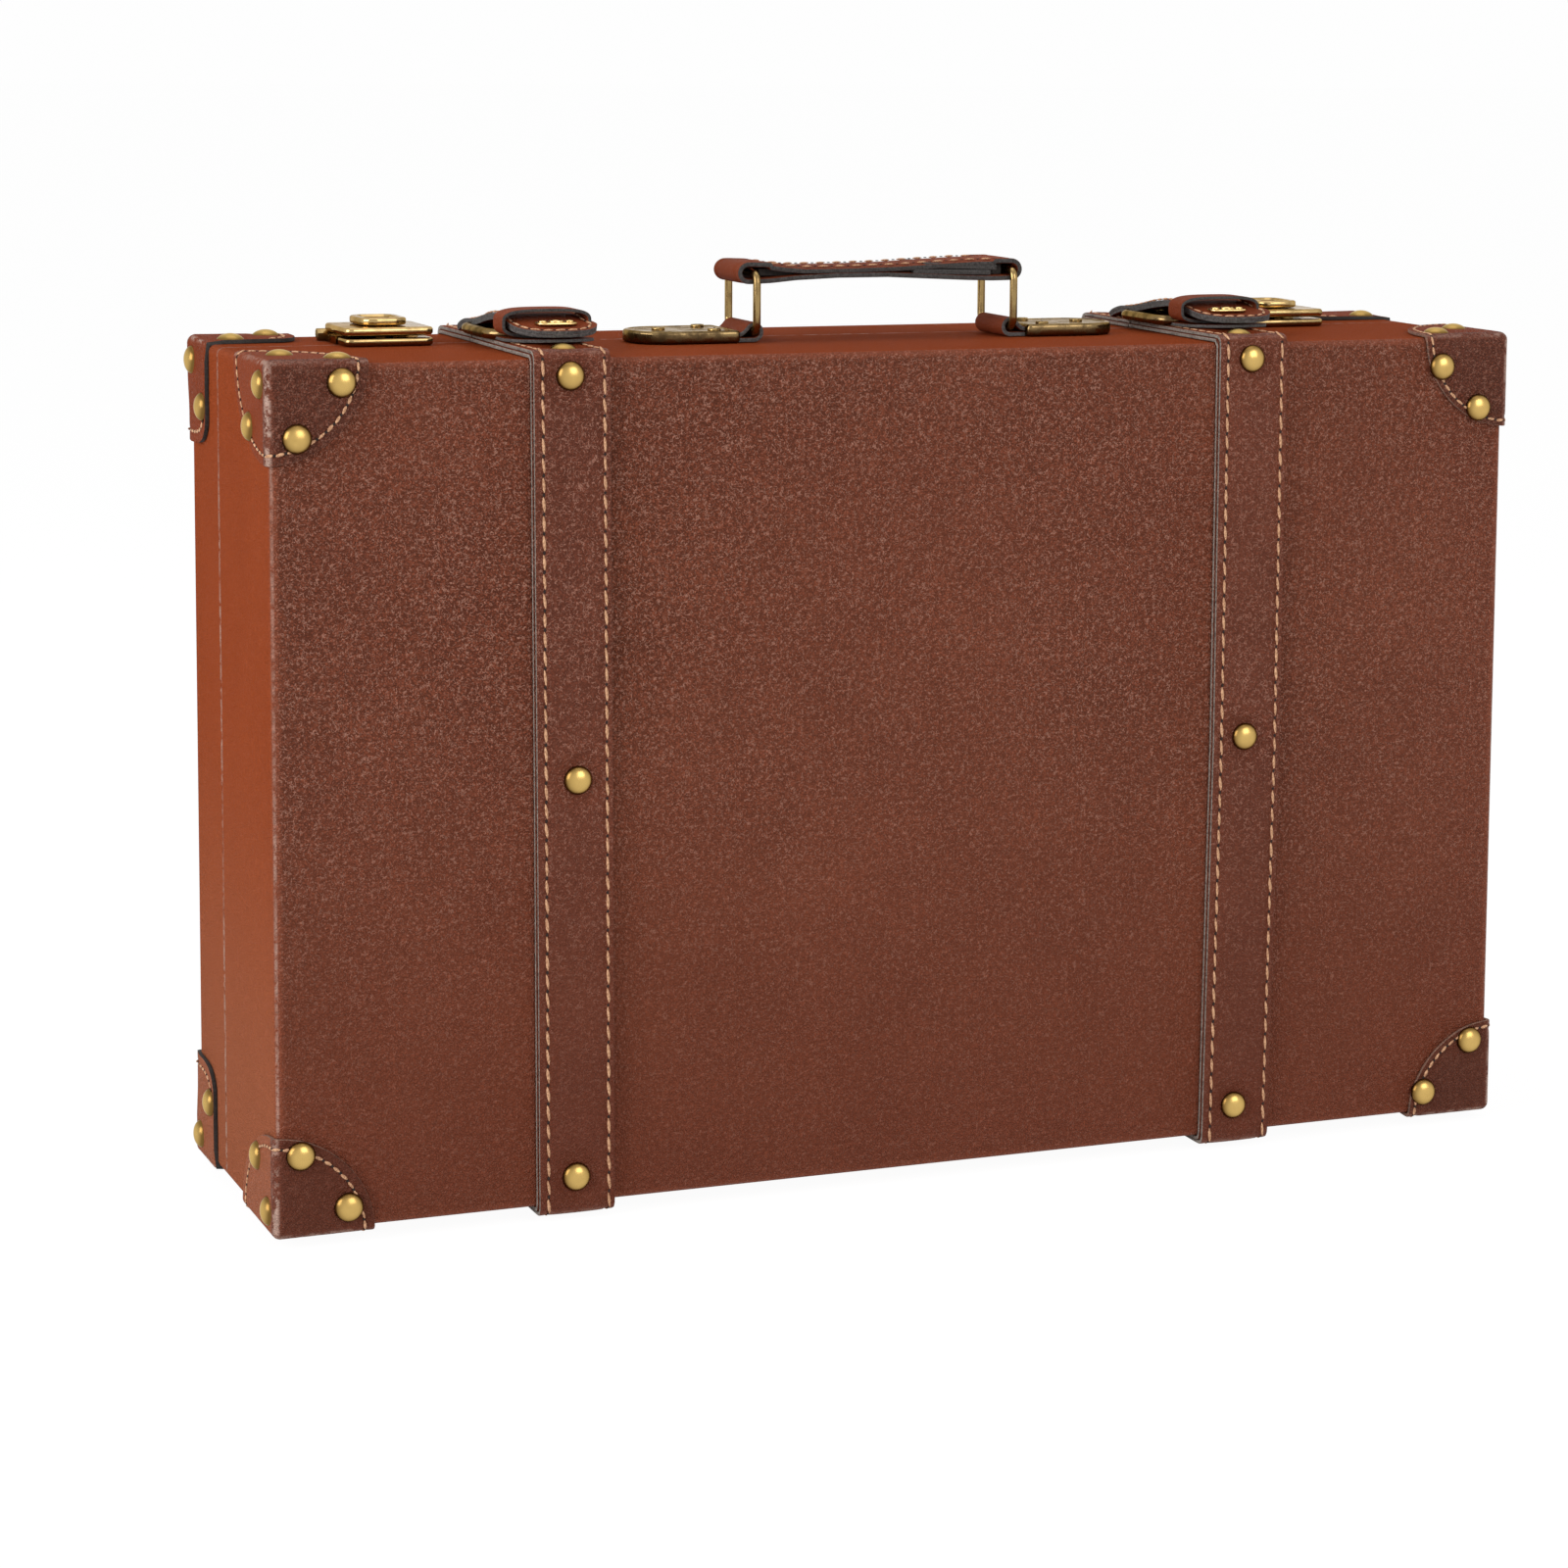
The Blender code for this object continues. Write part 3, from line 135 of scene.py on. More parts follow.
def blend(tree, amount, first, second, output):
    """Sends a mix of two shaders to the tree's output."""
    mixer = tree.nodes.new("ShaderNodeMixShader")
    for socket, source in zip(mixer.inputs, (amount, first, second)):
        tree.links.new(source, socket)
    tree.links.new(mixer.outputs[0], tree.nodes[output].inputs[0])


paper = bpy.data.materials.new("floor_paper")
paper.use_nodes = True
paper_tree = paper.node_tree
paper_shader = paper_tree.nodes["Principled BSDF"]
paper_shader.inputs["Base Color"].default_value = (floor_grey, floor_grey, floor_grey, 1)
paper_shader.inputs["Roughness"].default_value = 0.9
paper_shader.inputs["Specular IOR Level"].default_value = 0.0
paper_light = paper_tree.nodes.new("ShaderNodeEmission")
paper_light.inputs["Strength"].default_value = floor_glow
paper_amount = paper_tree.nodes.new("ShaderNodeMath")
paper_amount.operation = "MULTIPLY"
paper_amount.inputs[1].default_value = glow_share
paper_tree.links.new(seen_directly(paper_tree), paper_amount.inputs[0])
blend(paper_tree, paper_amount.outputs[0], paper_shader.outputs[0], paper_light.outputs[0],
      "Material Output")

bpy.ops.object.select_all(action="DESELECT")
bpy.ops.mesh.primitive_plane_add(size=60, location=(0, 0, 0))
floor = bpy.context.object
floor.name = "floor"
floor.data.materials.append(paper)

world = bpy.data.worlds.new("Studio")
scene.world = world
world.use_nodes = True
skies = (world.node_tree.nodes["Background"], world.node_tree.nodes.new("ShaderNodeBackground"))
for sky, strength in zip(skies, (sky_light, sky_seen)):
    sky.inputs["Color"].default_value = (1, 1, 1, 1)
    sky.inputs["Strength"].default_value = strength
blend(world.node_tree, seen_directly(world.node_tree), skies[0].outputs[0], skies[1].outputs[0],
      "World Output")
print("floor and sky ready")

# %% [markdown]
# ## Lamps
# A catalogue studio lights with large soft boxes, which leave soft edges and broad highlights. Area
# lamps do the same here: one from the left, one from the front and a weak one from above.

# %% Soft boxes
lamp_target = Vector((0, 0, 0.2))
soft_boxes = (("left_soft_box", (-2.4, -0.6, 1.2), 1.6, 40),
              ("front_soft_box", (0.9, -2.6, 1.7), 1.8, 32),
              ("top_soft_box", (0.1, 0.2, 2.6), 1.8, 9))
for name, place, size, power in soft_boxes:
    lamp_data = bpy.data.lights.new(name, "AREA")
    lamp_data.shape = "SQUARE"
    lamp_data.size = size
    lamp_data.energy = power
    lamp = bpy.data.objects.new(name, lamp_data)
    scene.collection.objects.link(lamp)
    lamp.location = place
    lamp.rotation_euler = (lamp_target - Vector(place)).to_track_quat("-Z", "Y").to_euler()
print("lamps:", [name for name, *_ in soft_boxes])

# %% [markdown]
# ## Shader sums in plain Python
# A material is a tree of nodes, and most of its nodes only add or multiply. The class below wraps
# one output socket, so that a sum such as `1 - mask * 0.5` adds its own Math nodes. Colours go
# through Mix nodes, because a Math node would turn them grey.

# %% A socket that takes part in sums
class Value:
    """One output socket of a material's tree, used in sums with numbers and other values."""

    def __init__(self, paint, socket):
        self.paint = paint
        self.socket = socket

    def math(self, operation, *others):
        sockets = dict(enumerate((self, *others)))
        return self.paint.node("ShaderNodeMath", {"operation": operation}, sockets)

    def __add__(self, other):
        return self.math("ADD", other)

    def __sub__(self, other):
        return self.math("SUBTRACT", other)

    def __rsub__(self, other):
        return self.math("MULTIPLY_ADD", -1.0, other)

    def __mul__(self, other):
        return self.math("MULTIPLY", other)

    __radd__ = __add__
    __rmul__ = __mul__

    def size(self):
        return self.math("ABSOLUTE")

    def least(self, other):
        return self.math("MINIMUM", other)

    def most(self, other):
        return self.math("MAXIMUM", other)

    def with_side(self, other):
        """The long side of a right-angled triangle on this side and another."""
        return (self.math("POWER", 2.0) + other.math("POWER", 2.0)).math("POWER", 0.5)

    def ramp(self, low, high):
        """0 at low and 1 at high, with a smooth way between. It falls where low is above high."""
        sockets = {"Value": self, "From Min": low, "From Max": high}
        if low > high:
            sockets = {"Value": self, "From Min": high, "From Max": low,
                       "To Min": 1.0, "To Max": 0.0}
        return self.paint.node("ShaderNodeMapRange", {"interpolation_type": "SMOOTHSTEP"}, sockets)


print("sums ready:", Value.__name__)

# %% A material in the making
class Paint:
    """One material: its tree, its Principled shader and the painted point of the piece."""

    def __init__(self, name, roughness=0.5, metallic=0.0):
        self.material = bpy.data.materials.new(name)
        self.material.use_nodes = True
        self.tree = self.material.node_tree
        self.shader = self.tree.nodes["Principled BSDF"]
        self.set("Roughness", roughness)
        self.set("Metallic", metallic)
        self.point = self.node("ShaderNodeTexCoord", output="Object")

    def node(self, kind, settings=None, sockets=None, output=0):
        """Adds a node, sets it, joins its sockets and gives one of its outputs."""
        made = self.tree.nodes.new(kind)
        for name, value in (settings or {}).items():
            setattr(made, name, value)
        for name, value in (sockets or {}).items():
            self.join(made.inputs[name], value)
        return Value(self, made.outputs[output])

    def join(self, socket, value):
        if isinstance(value, Value):
            self.tree.links.new(value.socket, socket)
        else:
            socket.default_value = value

    def set(self, name, value):
        self.join(self.shader.inputs[name], value)

    def noise(self, scale, detail=3.0, stretch=None, roughness=0.5, point=None):
        point = point or self.point
        if stretch:
            point = self.node("ShaderNodeMapping", None, {"Vector": point, "Scale": stretch})
        sockets = {"Vector": point, "Scale": scale, "Detail": detail, "Roughness": roughness}
        return self.node("ShaderNodeTexNoise", None, sockets)

    def axes(self):
        """The painted point's X, Y and Z."""
        split = self.node("ShaderNodeSeparateXYZ", None, {0: self.point}).socket.node
        return [Value(self, output) for output in split.outputs]

    def mix(self, amount, first, second):
        """A colour between two, each a socket or a plain colour."""
        pair = [colour if isinstance(colour, Value) else (*colour, 1)
                for colour in (first, second)]
        sockets = {0: amount, 6: pair[0], 7: pair[1]}
        return self.node("ShaderNodeMix", {"data_type": "RGBA"}, sockets, 2)

    def bump(self, height, distance, strength=1.0, under=None):
        """Makes the surface bumpy, over an earlier bump if there is one."""
        sockets = {"Height": height, "Distance": distance, "Strength": strength}
        if under:
            sockets["Normal"] = under
        normal = self.node("ShaderNodeBump", None, sockets)
        self.set("Normal", normal)
        return normal


print("materials ready:", Paint.__name__)

# %% [markdown]
# ## Leather
# The case is covered with leather-grain sheet. Its grain is a net of tiny pebbles, about a
# millimetre across, over soft wrinkles and a slow change of tone. Pale squiggles on the tops of the
# pebbles are painted highlights, and painted shade darkens the pits between them. The front panel
# is a purplish brown and shows its grain, and painted shade makes it darker towards the bottom. The
# narrow sides are smoother and more orange, and painted light bounced from the floor makes their
# ends paler low down. Where two faces meet, the finish is rubbed through to pale spots, and a
# painted highlight lies along the folds. All of it reads the piece's own coordinates, so the grain
# keeps its size on every piece.

# %% The grain
scuff_pale = (0.62, 0.42, 0.34)
crest_highlight_pale = (0.43, 0.205, 0.145)
floor_bounce_pale = (0.395, 0.135, 0.068)
wander = (0.0016, 0.0016, 0.0016)


def toned(colour, *shares):
    """A colour times one share, or times a share for each of its parts."""
    shares = shares * 3 if len(shares) == 1 else shares
    return tuple(value * share for value, share in zip(colour, shares))


def leather_grain(paint, depth):
    """Sets the bump. Gives how high the pebbles stand, and thin squiggles for painted highlights.
    """
    warp_sockets = {"Vector": paint.point, "Scale": 240.0, "Detail": 2.0}
    warp = paint.node("ShaderNodeTexNoise", None, warp_sockets, 1)
    bent = paint.node("ShaderNodeVectorMath", {"operation": "MULTIPLY_ADD"},
                      {0: warp, 1: wander, 2: paint.point})
    pebbles = paint.node("ShaderNodeTexVoronoi", {"feature": "DISTANCE_TO_EDGE"},
                         {"Vector": bent, "Scale": 760.0}).ramp(0.0, 0.32)
    ridges = paint.noise(520, 4.0, point=bent).ramp(0.3, 0.7)
    folds = paint.noise(150, 4.0, (1.0, 1.0, 1.6), 0.6)
    wrinkles = paint.bump(folds * 0.6 + paint.noise(34, 2.0) * 0.5, 0.0012, 0.4)
    paint.bump(pebbles * 0.55 + ridges * 0.60, 0.0013, depth, wrinkles)
    squiggles = (paint.noise(470, 2.0, point=bent) - 0.5).size().ramp(0.046, 0.008)
    return pebbles * 0.5 + ridges * 0.5, squiggles


print("leather tones:", scuff_pale, crest_highlight_pale, floor_bounce_pale)

# %% Leather over the whole case
def rubbed_lines(place, ragged, patchy):
    """The covering's pale dashes: along the parting's rims and down the upright edges."""
    to_front, to_end, to_top, y = place
    rim = (y - parting_y).size() + to_end.least(to_top).ramp(0.0012, 0.0030) * 0.01
    share = patchy * 0.5 + 0.5
    dashes = rim.ramp(0.0020, 0.0008) * ragged.ramp(0.42, 0.54) * share * 0.75
    upright = to_end.with_side(to_front)
    return dashes.most(upright.ramp(0.0020, 0.0010) * ragged.ramp(0.38, 0.54) * share * 0.7)


def folded_edge(to_front, to_end, to_top, proud):
    """The distance to the nearest folded edge, for leather that stands proud of the case."""
    front, end, top = to_front + proud, to_end + proud, to_top + proud
    return end.with_side(front).least(top.with_side(front) + 0.0007).least(
        end.with_side(top) + 0.0004)


def leather(name, panel, panel_dark, side, side_dark, shine, side_shine=0.25, proud=0.0,
            depth=0.8, wear=0.5, crest_highlight_share=0.16, hollow_shade_share=0.62, lines=None):
    """Leather that is grainy and brown on the panels, smooth and orange on the narrow sides."""
    paint = Paint(name)
    x, y, z = paint.axes()
    to_front = (y - front_y).least(back_y - y)
    to_end = half_length - x.size()
    to_top = (top_z - z).least(z - bottom_z)
    is_panel = to_front.ramp(0.0030, 0.0006)
    pebbles, squiggles = leather_grain(paint, depth)
    ragged = paint.noise(190, 5.0, roughness=0.75)
    patchy = paint.noise(24, 2.0).ramp(0.40, 0.62)

    brown = paint.mix(paint.noise(13, 6.0, roughness=0.7).ramp(0.28, 0.72), panel_dark, panel)
    # Painted shade: the panels turn darker and more saturated towards the bottom.
    brown = paint.mix(z.ramp(0.22, 0.02) * 0.55, brown, toned(panel_dark, 0.80, 0.68, 0.58))
    streak = paint.noise(8, 4.0, (1.0, 1.0, 0.4), 0.6).ramp(0.30, 0.75)
    # Painted light bounced from the floor: the ends turn paler low down.
    floor_bounce_light = z.ramp(0.24, 0.02) * to_end.ramp(0.012, 0.004) * 0.80
    orange = paint.mix(floor_bounce_light, paint.mix(streak, side_dark, side), floor_bounce_pale)
    body = paint.mix(is_panel, orange, brown)

    # This share scales the grain's painted shade and painted highlights, weaker towards the bottom.
    grain_light_strength = paint.noise(5, 2.0).ramp(0.30, 0.66) * 0.25 + 0.75
    grain_light_strength = grain_light_strength * (z.ramp(0.01, 0.28) * 0.7 + 0.3)
    # Painted shade darkens the pits between the pebbles, and painted highlights make pale squiggles
    # on their tops.
    hollow_shade = (1 - pebbles).ramp(0.30, 0.75) * (is_panel * hollow_shade_share + 0.08) * grain_light_strength
    crest_highlight = squiggles * paint.noise(520, 3.0).ramp(0.40, 0.58) * grain_light_strength
    body = paint.mix(hollow_shade, body, toned(panel_dark, 0.30))
    body = paint.mix(crest_highlight * (is_panel * crest_highlight_share + crest_highlight_share * 0.12), body, crest_highlight_pale)

    edge = folded_edge(to_front, to_end, to_top, proud)
    worn = edge.ramp(0.0034, 0.0014) * ragged.ramp(0.43, 0.55) * (patchy * 0.6 + 0.4) * wear
    if lines:
        worn = worn.most(lines((to_front, to_end, to_top, y), ragged, patchy))
    # Painted highlight: a lighter band along the folded edges.
    body = paint.mix(edge.ramp(0.0050, 0.0016) * 0.35, body, toned(panel, 1.45))
    body = paint.mix(worn, body, scuff_pale)

    paint.set("Base Color", body)
    paint.set("Roughness", paint.noise(50, 3.0) * 0.14 + 0.32 + (1 - pebbles) * 0.16 + worn * 0.25)
    dull = paint.node("ShaderNodeBsdfPrincipled", None, {"Base Color": body, "Roughness": 0.60})
    dull_inputs = dull.socket.node.inputs
    paint.shader.inputs["Specular IOR Level"].default_value = shine
    dull_inputs["Specular IOR Level"].default_value = shine * side_shine
    normal = paint.shader.inputs["Normal"].links[0].from_socket
    paint.tree.links.new(normal, dull_inputs["Normal"])
    blend(paint.tree, is_panel.socket, dull.socket, paint.shader.outputs[0], "Material Output")
    return paint.material


print("leather maker ready")

# %% The four leathers
strap_stands = 0.0039
skin = 0.0021
covering_leather = leather(
    "covering_leather", panel=(0.262, 0.070, 0.034), panel_dark=(0.208, 0.053, 0.0250),
    side=(0.372, 0.075, 0.023), side_dark=(0.325, 0.062, 0.018), shine=0.13, side_shine=0.03,
    wear=0.0, crest_highlight_share=0.86, lines=rubbed_lines)
strap_leather = leather(
    "strap_leather", panel=(0.216, 0.0575, 0.0290), panel_dark=(0.158, 0.0410, 0.0203),
    side=(0.270, 0.054, 0.017), side_dark=(0.200, 0.040, 0.013), shine=0.14,
    proud=strap_stands, depth=0.7, wear=0.65, crest_highlight_share=0.66, hollow_shade_share=0.42)
corner_leather = leather(
    "corner_leather", panel=(0.188, 0.051, 0.027), panel_dark=(0.136, 0.037, 0.0185),
    side=(0.300, 0.058, 0.017), side_dark=(0.225, 0.043, 0.014), shine=0.14,
    proud=skin, wear=1.0, crest_highlight_share=0.48)
tan_leather = leather(
    "tan_leather", panel=(0.215, 0.056, 0.027), panel_dark=(0.150, 0.038, 0.019),
    side=(0.265, 0.056, 0.020), side_dark=(0.185, 0.040, 0.015), shine=0.15, depth=0.4, wear=0.0)
print("leathers:", sum("_leather" in material.name for material in bpy.data.materials))

# %% [markdown]
# ## Brass
# The metal is plated: old gold on the nails, a brighter antique brass with dark recesses on the
# latches, and a dull mottled bronze on the handle's plates. Painted shade darkens the brass and the
# bronze at their foot on the case's top. A nail is bright on its dome, and painted shade darkens it
# towards its rim and at its lip, following a height that is kept on each nail when it is made.

# %% Metals
foot_shade_top, foot_shade_bottom = above_top(0.0046), above_top(0.0008)


def metal(name, bright, dark, roughness, patch_scale, tarnish_share, dent=0.12, foot=0.0):
    """Plated metal, tarnished in patches, and darkened with painted shade at the foot of what
    stands on the case's top.
    """
    paint = Paint(name, metallic=1.0)
    paint.shader.inputs["Specular Tint"].default_value = (0.74, 0.61, 0.44, 1)
    tarnish = paint.noise(patch_scale, 5.0, roughness=0.68).ramp(0.40, 0.68) * tarnish_share
    body = paint.mix(tarnish, bright, dark)
    if foot:
        # Painted shade: darker at the foot, just above the case's top.
        body = paint.mix(paint.axes()[2].ramp(foot_shade_top, foot_shade_bottom) * foot, body, dark)
    scratches = paint.noise(900, 2.0, (1.0, 0.08, 1.0))
    paint.set("Base Color", body)
    paint.set("Roughness", tarnish * 0.30 + scratches * 0.10 + (roughness - 0.05))
    paint.bump(paint.noise(110, 3.0) * 0.8 + scratches * 0.2, 0.00025, dent)
    return paint.material


def nail_material(name):
    """Satin gilt, with painted shade towards the nail's rim and a near-black painted ring of shade
    at its lip.
    """
    paint = Paint(name, metallic=1.0)
    paint.shader.inputs["Specular Tint"].default_value = (0.84, 0.76, 0.60, 1)
    height = paint.node("ShaderNodeAttribute", {"attribute_name": "height"}, {}, 2)
    tarnish = paint.noise(60, 5.0, roughness=0.68).ramp(0.40, 0.68) * 0.35
    body = paint.mix(tarnish, (0.61, 0.405, 0.130), (0.40, 0.245, 0.075))
    # Painted shade: darker towards the rim by the height kept on each nail, and near black at the
    # lip.
    body = paint.mix(height.ramp(0.0043, 0.0018) * 0.92, body, (0.14, 0.072, 0.018))
    body = paint.mix(height.ramp(0.0012, 0.0006), body, (0.03, 0.015, 0.008))
    paint.set("Base Color", body)
    paint.set("Roughness", tarnish * 0.16 + 0.27)
    paint.bump(paint.noise(110, 3.0), 0.0002, 0.08)
    return paint.material


nail_gold = nail_material("nail_gold")
antique_brass = metal("antique_brass_bright", (0.52, 0.36, 0.155), (0.10, 0.060, 0.025),
                      0.09, 75, 0.60, foot=0.75)
antique_bronze = metal("antique_bronze_dull", (0.225, 0.150, 0.066), (0.050, 0.031, 0.015),
                       0.18, 120, 0.85, dent=0.30, foot=0.60)
eyelet_gold = metal("eyelet_gold", (0.80, 0.58, 0.25), (0.36, 0.22, 0.08), 0.18, 90, 0.40)
ring_brass = metal("ring_brass", (0.36, 0.245, 0.10), (0.11, 0.065, 0.028), 0.15, 60, 0.60)
hinge_steel = metal("hinge_steel", (0.60, 0.58, 0.55), (0.30, 0.27, 0.23), 0.34, 90, 0.45,
                    dent=0.25)
print("metals ready, with a dark foot below", round(foot_shade_top, 4))

# %% [markdown]
# ## Thread, cut edges, cloth and wood
# Thread is a twisted peach cord. Where leather is cut, its felted inside shows in thin layers, grey
# on the straps and black on the lid's protectors, where the black is partly the edge's own colour
# and partly painted shade of the gap at the parting. The dark cut edge also serves as painted shade
# in the screw slots and eyelet holes, and the black one in the hollow of the grip. The lining is a
# plain weave, and the boards are plywood with a long figure and open pores.

# %% Soft and wooden finishes
def thread_material(name):
    """Twisted thread: a fine diagonal lay."""
    paint = Paint(name, 0.72)
    lay = paint.noise(1400, 2.0, (1.0, 0.35, 0.6))
    paint.set("Base Color", paint.mix(lay.ramp(0.35, 0.65), (0.42, 0.20, 0.10), (0.76, 0.44, 0.25)))
    paint.bump(lay, 0.0002, 0.5)
    return paint.material


def cut_edge_material(name, pale, shade):
    """The felted fibres of a cut edge, in layers, with pale ends."""
    paint = Paint(name, 0.85)
    fibre = paint.noise(1100, 4.0, roughness=0.75)
    layer = paint.noise(260, 3.0, (0.5, 0.5, 2.4))
    body = paint.mix(fibre.ramp(0.32, 0.70), shade, pale)
    paint.set("Base Color", paint.mix(layer.ramp(0.52, 0.66) * 0.55, body, (0.045, 0.038, 0.036)))
    paint.bump(fibre, 0.0004, 0.8)
    return paint.material


def cloth_material(name, light, shade, pitch=0.0009):
    """Plain woven lining: two sets of threads that cross on every face."""
    paint = Paint(name, 0.88)
    x, y, z = (axis * (math.tau / pitch) for axis in paint.axes())
    weave = (x + y).math("SINE") * z.math("SINE") * 0.5 + 0.5
    paint.set("Base Color", paint.mix(weave * 0.6 + paint.noise(40, 3.0) * 0.4, shade, light))
    paint.bump(weave, 0.0002, 0.5)
    return paint.material


def wood_material(name):
    """Rotary-cut plywood: long soft figure along X and open pores."""
    paint = Paint(name, 0.62)
    figure = paint.noise(30, 6.0, (0.10, 1.0, 1.0), 0.6)
    pores = paint.noise(700, 2.0, (0.04, 1.0, 1.0)).ramp(0.60, 0.70)
    body = paint.mix(figure.ramp(0.30, 0.70), (0.43, 0.25, 0.12), (0.66, 0.45, 0.25))
    paint.set("Base Color", paint.mix(pores * 0.5, body, (0.22, 0.12, 0.05)))
    paint.bump(pores * -0.5 + figure * 0.5, 0.0003, 0.4)
    return paint.material


def needle_material(name):
    """Painted shade: the dark of a needle's hole."""
    paint = Paint(name, 0.95)
    paint.set("Base Color", paint.mix(paint.noise(900), (0.012, 0.006, 0.004), (0.03, 0.014, 0.01)))
    return paint.material


thread = thread_material("peach_thread")
needle_hole_shade = needle_material("needle_hole_shade")
# The dark cut edge is also painted shade in screw slots and eyelet holes; the black one is partly
# painted shade at the lid's parting and in the grip's hollow.
cut_edge, strap_edge, corner_edge, dark_edge_and_hole_shade, black_edge_and_shade = (
    cut_edge_material(name, pale, shade) for name, pale, shade in (
        ("grey_cut_edge", (0.165, 0.156, 0.150), (0.036, 0.033, 0.032)),
        ("strap_cut_edge", (0.42, 0.37, 0.32), (0.130, 0.105, 0.090)),
        ("corner_cut_edge", (0.36, 0.20, 0.14), (0.120, 0.055, 0.035)),
        ("dark_cut_edge_and_hole_shade", (0.092, 0.085, 0.080), (0.016, 0.014, 0.013)),
        ("black_cut_edge_and_shade", (0.036, 0.027, 0.022), (0.009, 0.007, 0.006))))
lining_cloth = cloth_material("lining_weave", (0.40, 0.28, 0.17), (0.24, 0.16, 0.09))
plywood = wood_material("plywood_figure")
print("finishes:", len(bpy.data.materials))

# %% [markdown]
# ## Nodes that keep their solids
# Where the frame's own solid has the right shape, it only gets a better finish: the coverings, the
# boards, the linings, the latches' rear leaves and pins, the buckles' prongs, the magnets and their
# strikers, and the hinges. The other nodes are replaced further down.

# %% Finishes for the frame's own solids
kept_finishes = (("covering", covering_leather), ("board", plywood), ("lining", lining_cloth),
                 ("latch", antique_brass), ("buckle", antique_brass), ("hinge", hinge_steel),
                 ("magnet", hinge_steel), ("striker", hinge_steel))
finished = []
for node_name, node in nodes.items():
    for word, finish in kept_finishes:
        if word in node_name:
            finished.append(node_name)
            for slot in node.material_slots:
                slot.material = finish
print("finished nodes:", len(finished))

# %% [markdown]
# ## Lines to follow
# Straps, tails, loops and the grip are all bands of leather that follow a line. The line is drawn
# in side or front view with few points, rounded or smoothed, and then divided into even steps, so
# that the band's rows are evenly spaced.

# %% Even, rounded and smooth lines
def clamp(value):
    return min(max(value, 0.0), 1.0)


def leg_lengths(points):
    return [(end - start).length for start, end in zip(points, points[1:])]


def walk(lengths, along):
    """The leg of a line that holds a length along it, and the share of that leg passed there."""
    leg, passed = 0, 0.0
    while leg < len(lengths) - 1 and passed + lengths[leg] < along:
        passed += lengths[leg]
        leg += 1
    share = (along - passed) / lengths[leg] if lengths[leg] else 0.0
    return leg, clamp(share)


def even_line(line, step):
    """The same line with points about one step apart."""
    line = [Vector(point) for point in line]
    lengths = leg_lengths(line)
    total = sum(lengths)
    count = max(2, round(total / step))
    points = []
    for number in range(count + 1):
        leg, share = walk(lengths, total * number / count)
        points.append(line[leg].lerp(line[leg + 1], share))
    return points


def rounded_line(corners, radius, step, steps=8):
    """Even points (y, z) along a bent line whose corners are rounded."""
    corners = [Vector(corner) for corner in corners]
    line = [corners[0]]
    for before, corner, after in zip(corners, corners[1:], corners[2:]):
        start = corner + (before - corner).normalized() * radius
        end = corner + (after - corner).normalized() * radius
        for share in (number / steps for number in range(steps + 1)):
            line.append(start.lerp(corner, share).lerp(corner.lerp(end, share), share))
    line.append(corners[-1])
    return even_line(line, step)


def smooth_curve(stations, step, steps=10):
    """Even points along a soft line through the stations."""
    stations = [Vector(point) for point in stations]
    padded = [stations[0] * 2 - stations[1], *stations, stations[-1] * 2 - stations[-2]]
    line = []
    for first, start, end, last in zip(padded, padded[1:], padded[2:], padded[3:]):
        for t in (number / steps for number in range(steps)):
            line.append(0.5 * (2 * start + (end - first) * t
                               + (2 * first - 5 * start + 4 * end - last) * t ** 2
                               + (3 * start - first - 3 * end + last) * t ** 3))
    line.append(stations[-1])
    return even_line(line, step)


def line_normals(line):
    """The direction square to the line at each point, to the left of the way that it runs."""
    normals = []
    for index in range(len(line)):
        along = line[min(index + 1, len(line) - 1)] - line[max(index - 1, 0)]
        normals.append(Vector((-along.y, along.x)).normalized())
    return normals


def at_length(line, along):
    """The place and normal of a line at a length along it."""
    leg, share = walk(leg_lengths(line), along)
    way = (line[leg + 1] - line[leg]).normalized()
    return line[leg].lerp(line[leg + 1], share), Vector((-way.y, way.x))


def arc(middle, radii, start, stop, steps):
    """Points along a part of an oval, between two turns in degrees."""
    turns = (math.radians(start + (stop - start) * step / steps) for step in range(steps + 1))
    return [(middle[0] + radii[0] * math.cos(turn), middle[1] + radii[1] * math.sin(turn))
            for turn in turns]


def groove(distance, breadth):
    """1 on a seam, falling softly to 0 away from it."""
    return math.exp(-(distance / breadth) ** 2)


print("a test line has", len(rounded_line([(0, 0), (0, 0.1), (0.1, 0.1)], 0.005, 0.003)), "points")

# %% [markdown]
# ## Bands of leather
# To a saddler a strap is a flat band with a cut edge. One helper makes them all: it adds a grid,
# lays its rows along a line, pulls each row to its width, and gives the sheet a thickness whose cut
# edge has a finish of its own. A small bevel takes the sharpness off, as the edge iron does.

# %% Selecting, modifying and finishing a piece
def select_only(*pieces):
    """Selects these pieces alone, with the first one active."""
    bpy.ops.object.select_all(action="DESELECT")
    for piece in pieces:
        piece.select_set(True)
    bpy.context.view_layer.objects.active = pieces[0]


def start_edit(kind="VERT", action="SELECT"):
    """Opens the active piece in edit mode, with all or nothing of it selected."""
    bpy.ops.object.mode_set(mode="EDIT")
    bpy.ops.mesh.select_mode(type=kind)
    bpy.ops.mesh.select_all(action=action)


def end_edit():
    bpy.ops.object.mode_set(mode="OBJECT")


def apply_modifier(piece, kind, **settings):
    """Adds a modifier, sets it and applies it."""
    select_only(piece)
    modifier = piece.modifiers.new(kind.title(), kind)
    for name, value in settings.items():
        setattr(modifier, name, value)
    bpy.ops.object.modifier_apply(modifier=modifier.name)


